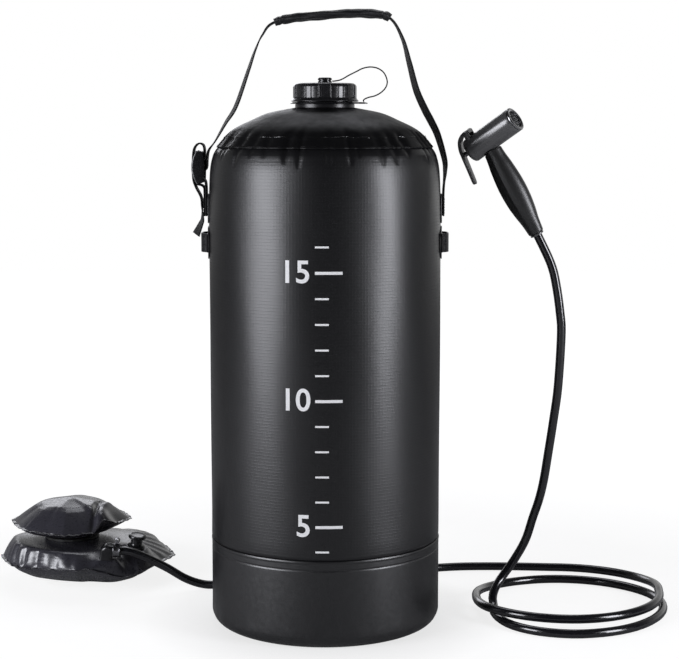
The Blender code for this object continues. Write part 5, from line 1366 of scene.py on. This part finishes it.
body = elbow("pump_bend", base_at(PUMP_FOOT, PUMP_WAY), 0.0, 0.0100, PUMP_TAIL, PUMP_TAIL_L, PUMP_PIPE_R,
             0.45, rounded(1.90, 1.90, 0.50, 12))
settle(body, "bag", "pump_elbow")
clamp("pump", PUMP_CORNER, PUMP_TAIL, PUMP_TAIL_L, PUMP_PIPE_R * NECKED)


# Shower head: a moulded barrel and a core for the hand, with a soft sleeve over it. A sprung valve in
# the barrel is opened by the lever behind it, and a perforated plate and a bright ring close its mouth.
HEAD = ((0.2110, 0.0, 0.3957), (0.783269, -0.45023, 0.428699), (0.394944, 0.892913, 0.216161),
        (-0.480113, 0.0, 0.877207))
BARREL = ((0.145471, 0.009545, 0.475999), (0.581973, -0.061103, -0.810909), (0.394944, 0.892913, 0.216161),
          (0.710863, -0.446064, 0.543783))
BARREL_R = 0.0125
HANDLE_SHAPE = ((0.0000, 0.0080), (0.0120, 0.0095), (0.0240, 0.0118), (0.0380, 0.0134), (0.0540, 0.0137),
                (0.0720, 0.0121), (0.0840, 0.0103), (0.0960, 0.0094))
HANDLE_DEPTH = 0.84
GRIP_SKIN = 0.0026
LEVER = ((-0.0108, 0.1203), (-0.0150, 0.1206), (-0.0205, 0.1194), (-0.0258, 0.1150), (-0.0291, 0.1075),
         (-0.0302, 0.1000), (-0.0318, 0.0850), (-0.0334, 0.0700))
LEVER_W = 0.0100
LEVER_T = 0.0032
PIVOT = (0.142024, 0.006393, 0.495316)
SLEEVE = (-0.0012, 0.0918)
# The sleeve's long hollows and the beads beside them: angle, width and depth.
SLEEVE_RIBS = ((-122.0, 16.0, -0.0009), (-146.0, 3.0, 0.0005), (-96.0, 3.0, 0.0004), (122.0, 16.0, -0.0009),
               (146.0, 3.0, 0.0005), (96.0, 3.0, 0.0004))
PLATE_Z = 0.0586
CROWN = 0.0016
PLATE_R = 0.0086
NUB_RINGS = ((1, 0.0), (5, 0.0032), (9, 0.0064))

head_finish = grained("grey_moulding", (0.075, 0.075, 0.076), 0.24, 0.04, 900.0, 0.00001, 1.0)
sleeve_finish = grained("soft_sleeve", (0.012, 0.012, 0.012), 0.39, 0.05, 700.0, 0.00003, 0.8)
chrome_finish = grained("dark_chrome", (0.38, 0.38, 0.39), 0.22, 0.04, 800.0, 0.00001, Metallic=1.0)
plate_finish = grained("spray_plate_moulding", (0.020, 0.020, 0.021), 0.32, 0.05, 900.0, 0.00002)

barrel_line = [(0.0030, 0.0), (0.0102, 0.0), (0.0114, 0.0003), (0.0121, 0.0009), (0.0125, 0.0018),
               *[(BARREL_R, z) for z in np.linspace(0.0040, 0.0520, 13)], (BARREL_R, 0.0560),
               (0.0122, 0.0568), (0.0117, 0.0570), (0.0109, 0.0570), (0.0109, 0.0520), (0.0097, 0.0520),
               (0.0097, 0.0040), (0.0030, 0.0040)]
barrel = lathe("barrel_moulding", barrel_line, BARREL, head_finish, columns=144, closed=True)
pivot = np.array(PIVOT)
x, side, z = (unit(np.array(v)) for v in HEAD[1:])
outline = rounded(0.0056, 0.0112, 0.0026, 8)
ears = []
for sign in (-1, 1):
    y = sign * (LEVER_W / 2 + 0.0014)
    ear = np.stack([pivot + side * (y + k) + outline[:, :1] * share * x
                    + (outline[:, 1:] * share - 0.0036) * z
                    for k, share in ((-0.0010, 0.93), (-0.0008, 1.0), (0.0008, 1.0), (0.0010, 0.93))])
    ears.append(skin("ear", ear, head_finish, sharp=50))
barrel = joined("barrel_moulding", [barrel, *ears])
settle(barrel, "bag", "head_barrel")


def handle_rings(low, high, rows, shrink):
    """Ovals along the head's z with the radii of HANDLE_SHAPE, flattened to HANDLE_DEPTH across."""
    z = np.linspace(low, high, rows)[:, None]
    eased = curved(upright([(h, r) for h, r in HANDLE_SHAPE]), 0.001)
    half = np.interp(z, eased[:, 0], eased[:, 2]) - shrink
    turn = circle(96)[None]
    return np.stack([half * np.cos(turn), half * HANDLE_DEPTH * np.sin(turn), z * np.ones_like(turn)], axis=2)


def under_barrel(rings, low, room):
    """Rings whose heights are squeezed so that the last fits the barrel's underside, a saddle: the height
    of its axis there less the circle's half height at y."""
    axis = 0.1048 + 0.1370 * rings[..., 0]
    saddle = axis - np.sqrt(np.maximum((BARREL_R + room) ** 2 - rings[..., 1] ** 2, 0.0)) * 1.009
    share = (rings[..., 2] - low) / (rings[..., 2].max() - low)
    lifted = rings.copy()
    lifted[..., 2] = rings[..., 2] + (saddle - rings[..., 2].max()) * np.clip(share, 0, 1) ** 3
    return lifted


core_rings = under_barrel(handle_rings(0.0032, 0.0925, 48, GRIP_SKIN + GAP), 0.0032, GAP)
core = skin("head_core_moulding", framed(core_rings, HEAD), head_finish, sharp=40)
settle(core, "bag", "head_core")

outer = handle_rings(*SLEEVE, 90, 0.0)
turn = np.arctan2(outer[..., 1] / HANDLE_DEPTH, outer[..., 0])
middle = ramp(outer[..., 2], 0.018, 0.012) * ramp(outer[..., 2], 0.094, -0.010)
for at, wide, depth in SLEEVE_RIBS:
    outer = pushed(outer, depth * bell(turn, at, wide) * middle)
ends = np.minimum(ramp(outer[..., 2], SLEEVE[0], 0.0012), ramp(outer[..., 2], SLEEVE[1], -0.0012))
outer = pushed(outer, -0.0008 * (1 - np.sqrt(1 - (1 - ends) ** 2)))
inner = handle_rings(*SLEEVE, 40, GRIP_SKIN)[::-1]
both = [under_barrel(rings, 0.0, GAP * 2) for rings in (outer, inner)]
sleeve = skin("hand_sleeve", framed(np.concatenate(both), HEAD), sleeve_finish, ends_close=True, sharp=50)
settle(sleeve, "bag", "head_grip")
collar_line = [(0.0048, -0.0032), (0.0066, -0.0032), (0.0070, -0.0028), (0.0070, -0.0018), (0.0052, -0.0014),
               (0.0052, 0.0024), (0.0048, 0.0029)]
collar = lathe("hose_collar_moulding", collar_line, HEAD, head_finish, closed=True)
settle(collar, "bag", "hose_collar")

ring_line = [(0.0089, 0.0573), (0.0119, 0.0573), (0.0124, 0.0577), (0.0125, 0.0584), (0.0122, 0.0592),
             (0.0115, 0.0595), (0.0100, 0.0594), (0.0091, 0.0588)]
ring = lathe("bright_ring", ring_line, BARREL, chrome_finish, columns=144, closed=True, sharp=30)
settle(ring, "bag", "face_ring")

route = curved(upright(LEVER), 0.0012)
at = np.linspace(0.0, 1.0, len(route))
taper = 1 - 0.30 * ramp(at, 0.35, 0.65)
tip = np.sqrt(np.clip(1 - ramp(at, 0.94, 0.062) ** 2, 0.02, 1))
section = rounded(LEVER_W, LEVER_T, 0.0014, 8)[None] * np.c_[taper * tip, np.ones(len(at))][:, None]
lever = skin("lever_moulding", framed(swept(route, section), HEAD), head_finish, sharp=50)
settle(lever, "trigger", "trigger_lever")
pin_line = [(0.0003, -0.0074), (0.0010, -0.0074), (0.0012, -0.0072), (0.0012, 0.0072), (0.0010, 0.0074),
            (0.0003, 0.0074)]
pin = lathe("lever_rivet", pin_line, base_at(PIVOT, HEAD[2], HEAD[1]), steel_finish, columns=32)
settle(pin, "bag", "lever_pin")
dress(steel_finish, "valve_stem", "valve_spring")
dress(moulded_finish, "spring_stop")


def face_height(radius):
    """The height of the plate's crowned face at a radius, a parabola."""
    return PLATE_Z - CROWN * (radius / PLATE_R) ** 2


radii = np.linspace(0.0003, PLATE_R, 14)
plate_line = [(r, face_height(r)) for r in radii] + [(0.0087, 0.0543), (0.0104, 0.0543), (0.0106, 0.0541),
                                                     (0.0106, 0.0525), (0.0104, 0.0523), (0.0003, 0.0523)]
plate = lathe("crowned_spray_plate", plate_line, BARREL, plate_finish, sharp=40)
nubs = [plate]
for count, radius in NUB_RINGS:
    z = face_height(radius)
    for k in range(count):
        turn = 2 * math.pi * k / count
        nub = turned([(0.0006, z - 0.0003), (0.0013, z - 0.0003), (0.0012, z + 0.0003), (0.0010, z + 0.0005),
                      (0.0007, z + 0.0004)], 24)
        nub = framed(nub + np.array((radius * math.cos(turn), radius * math.sin(turn), 0.0)), BARREL)
        nubs.append(skin("nub", nub, head_finish, ends_close=True, sharp=60))
plate = joined("crowned_spray_plate", nubs)
settle(plate, "bag", "spray_plate")


size = {"cad": np.array(cad_box).tolist(), "visual": np.array(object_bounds()).tolist()}
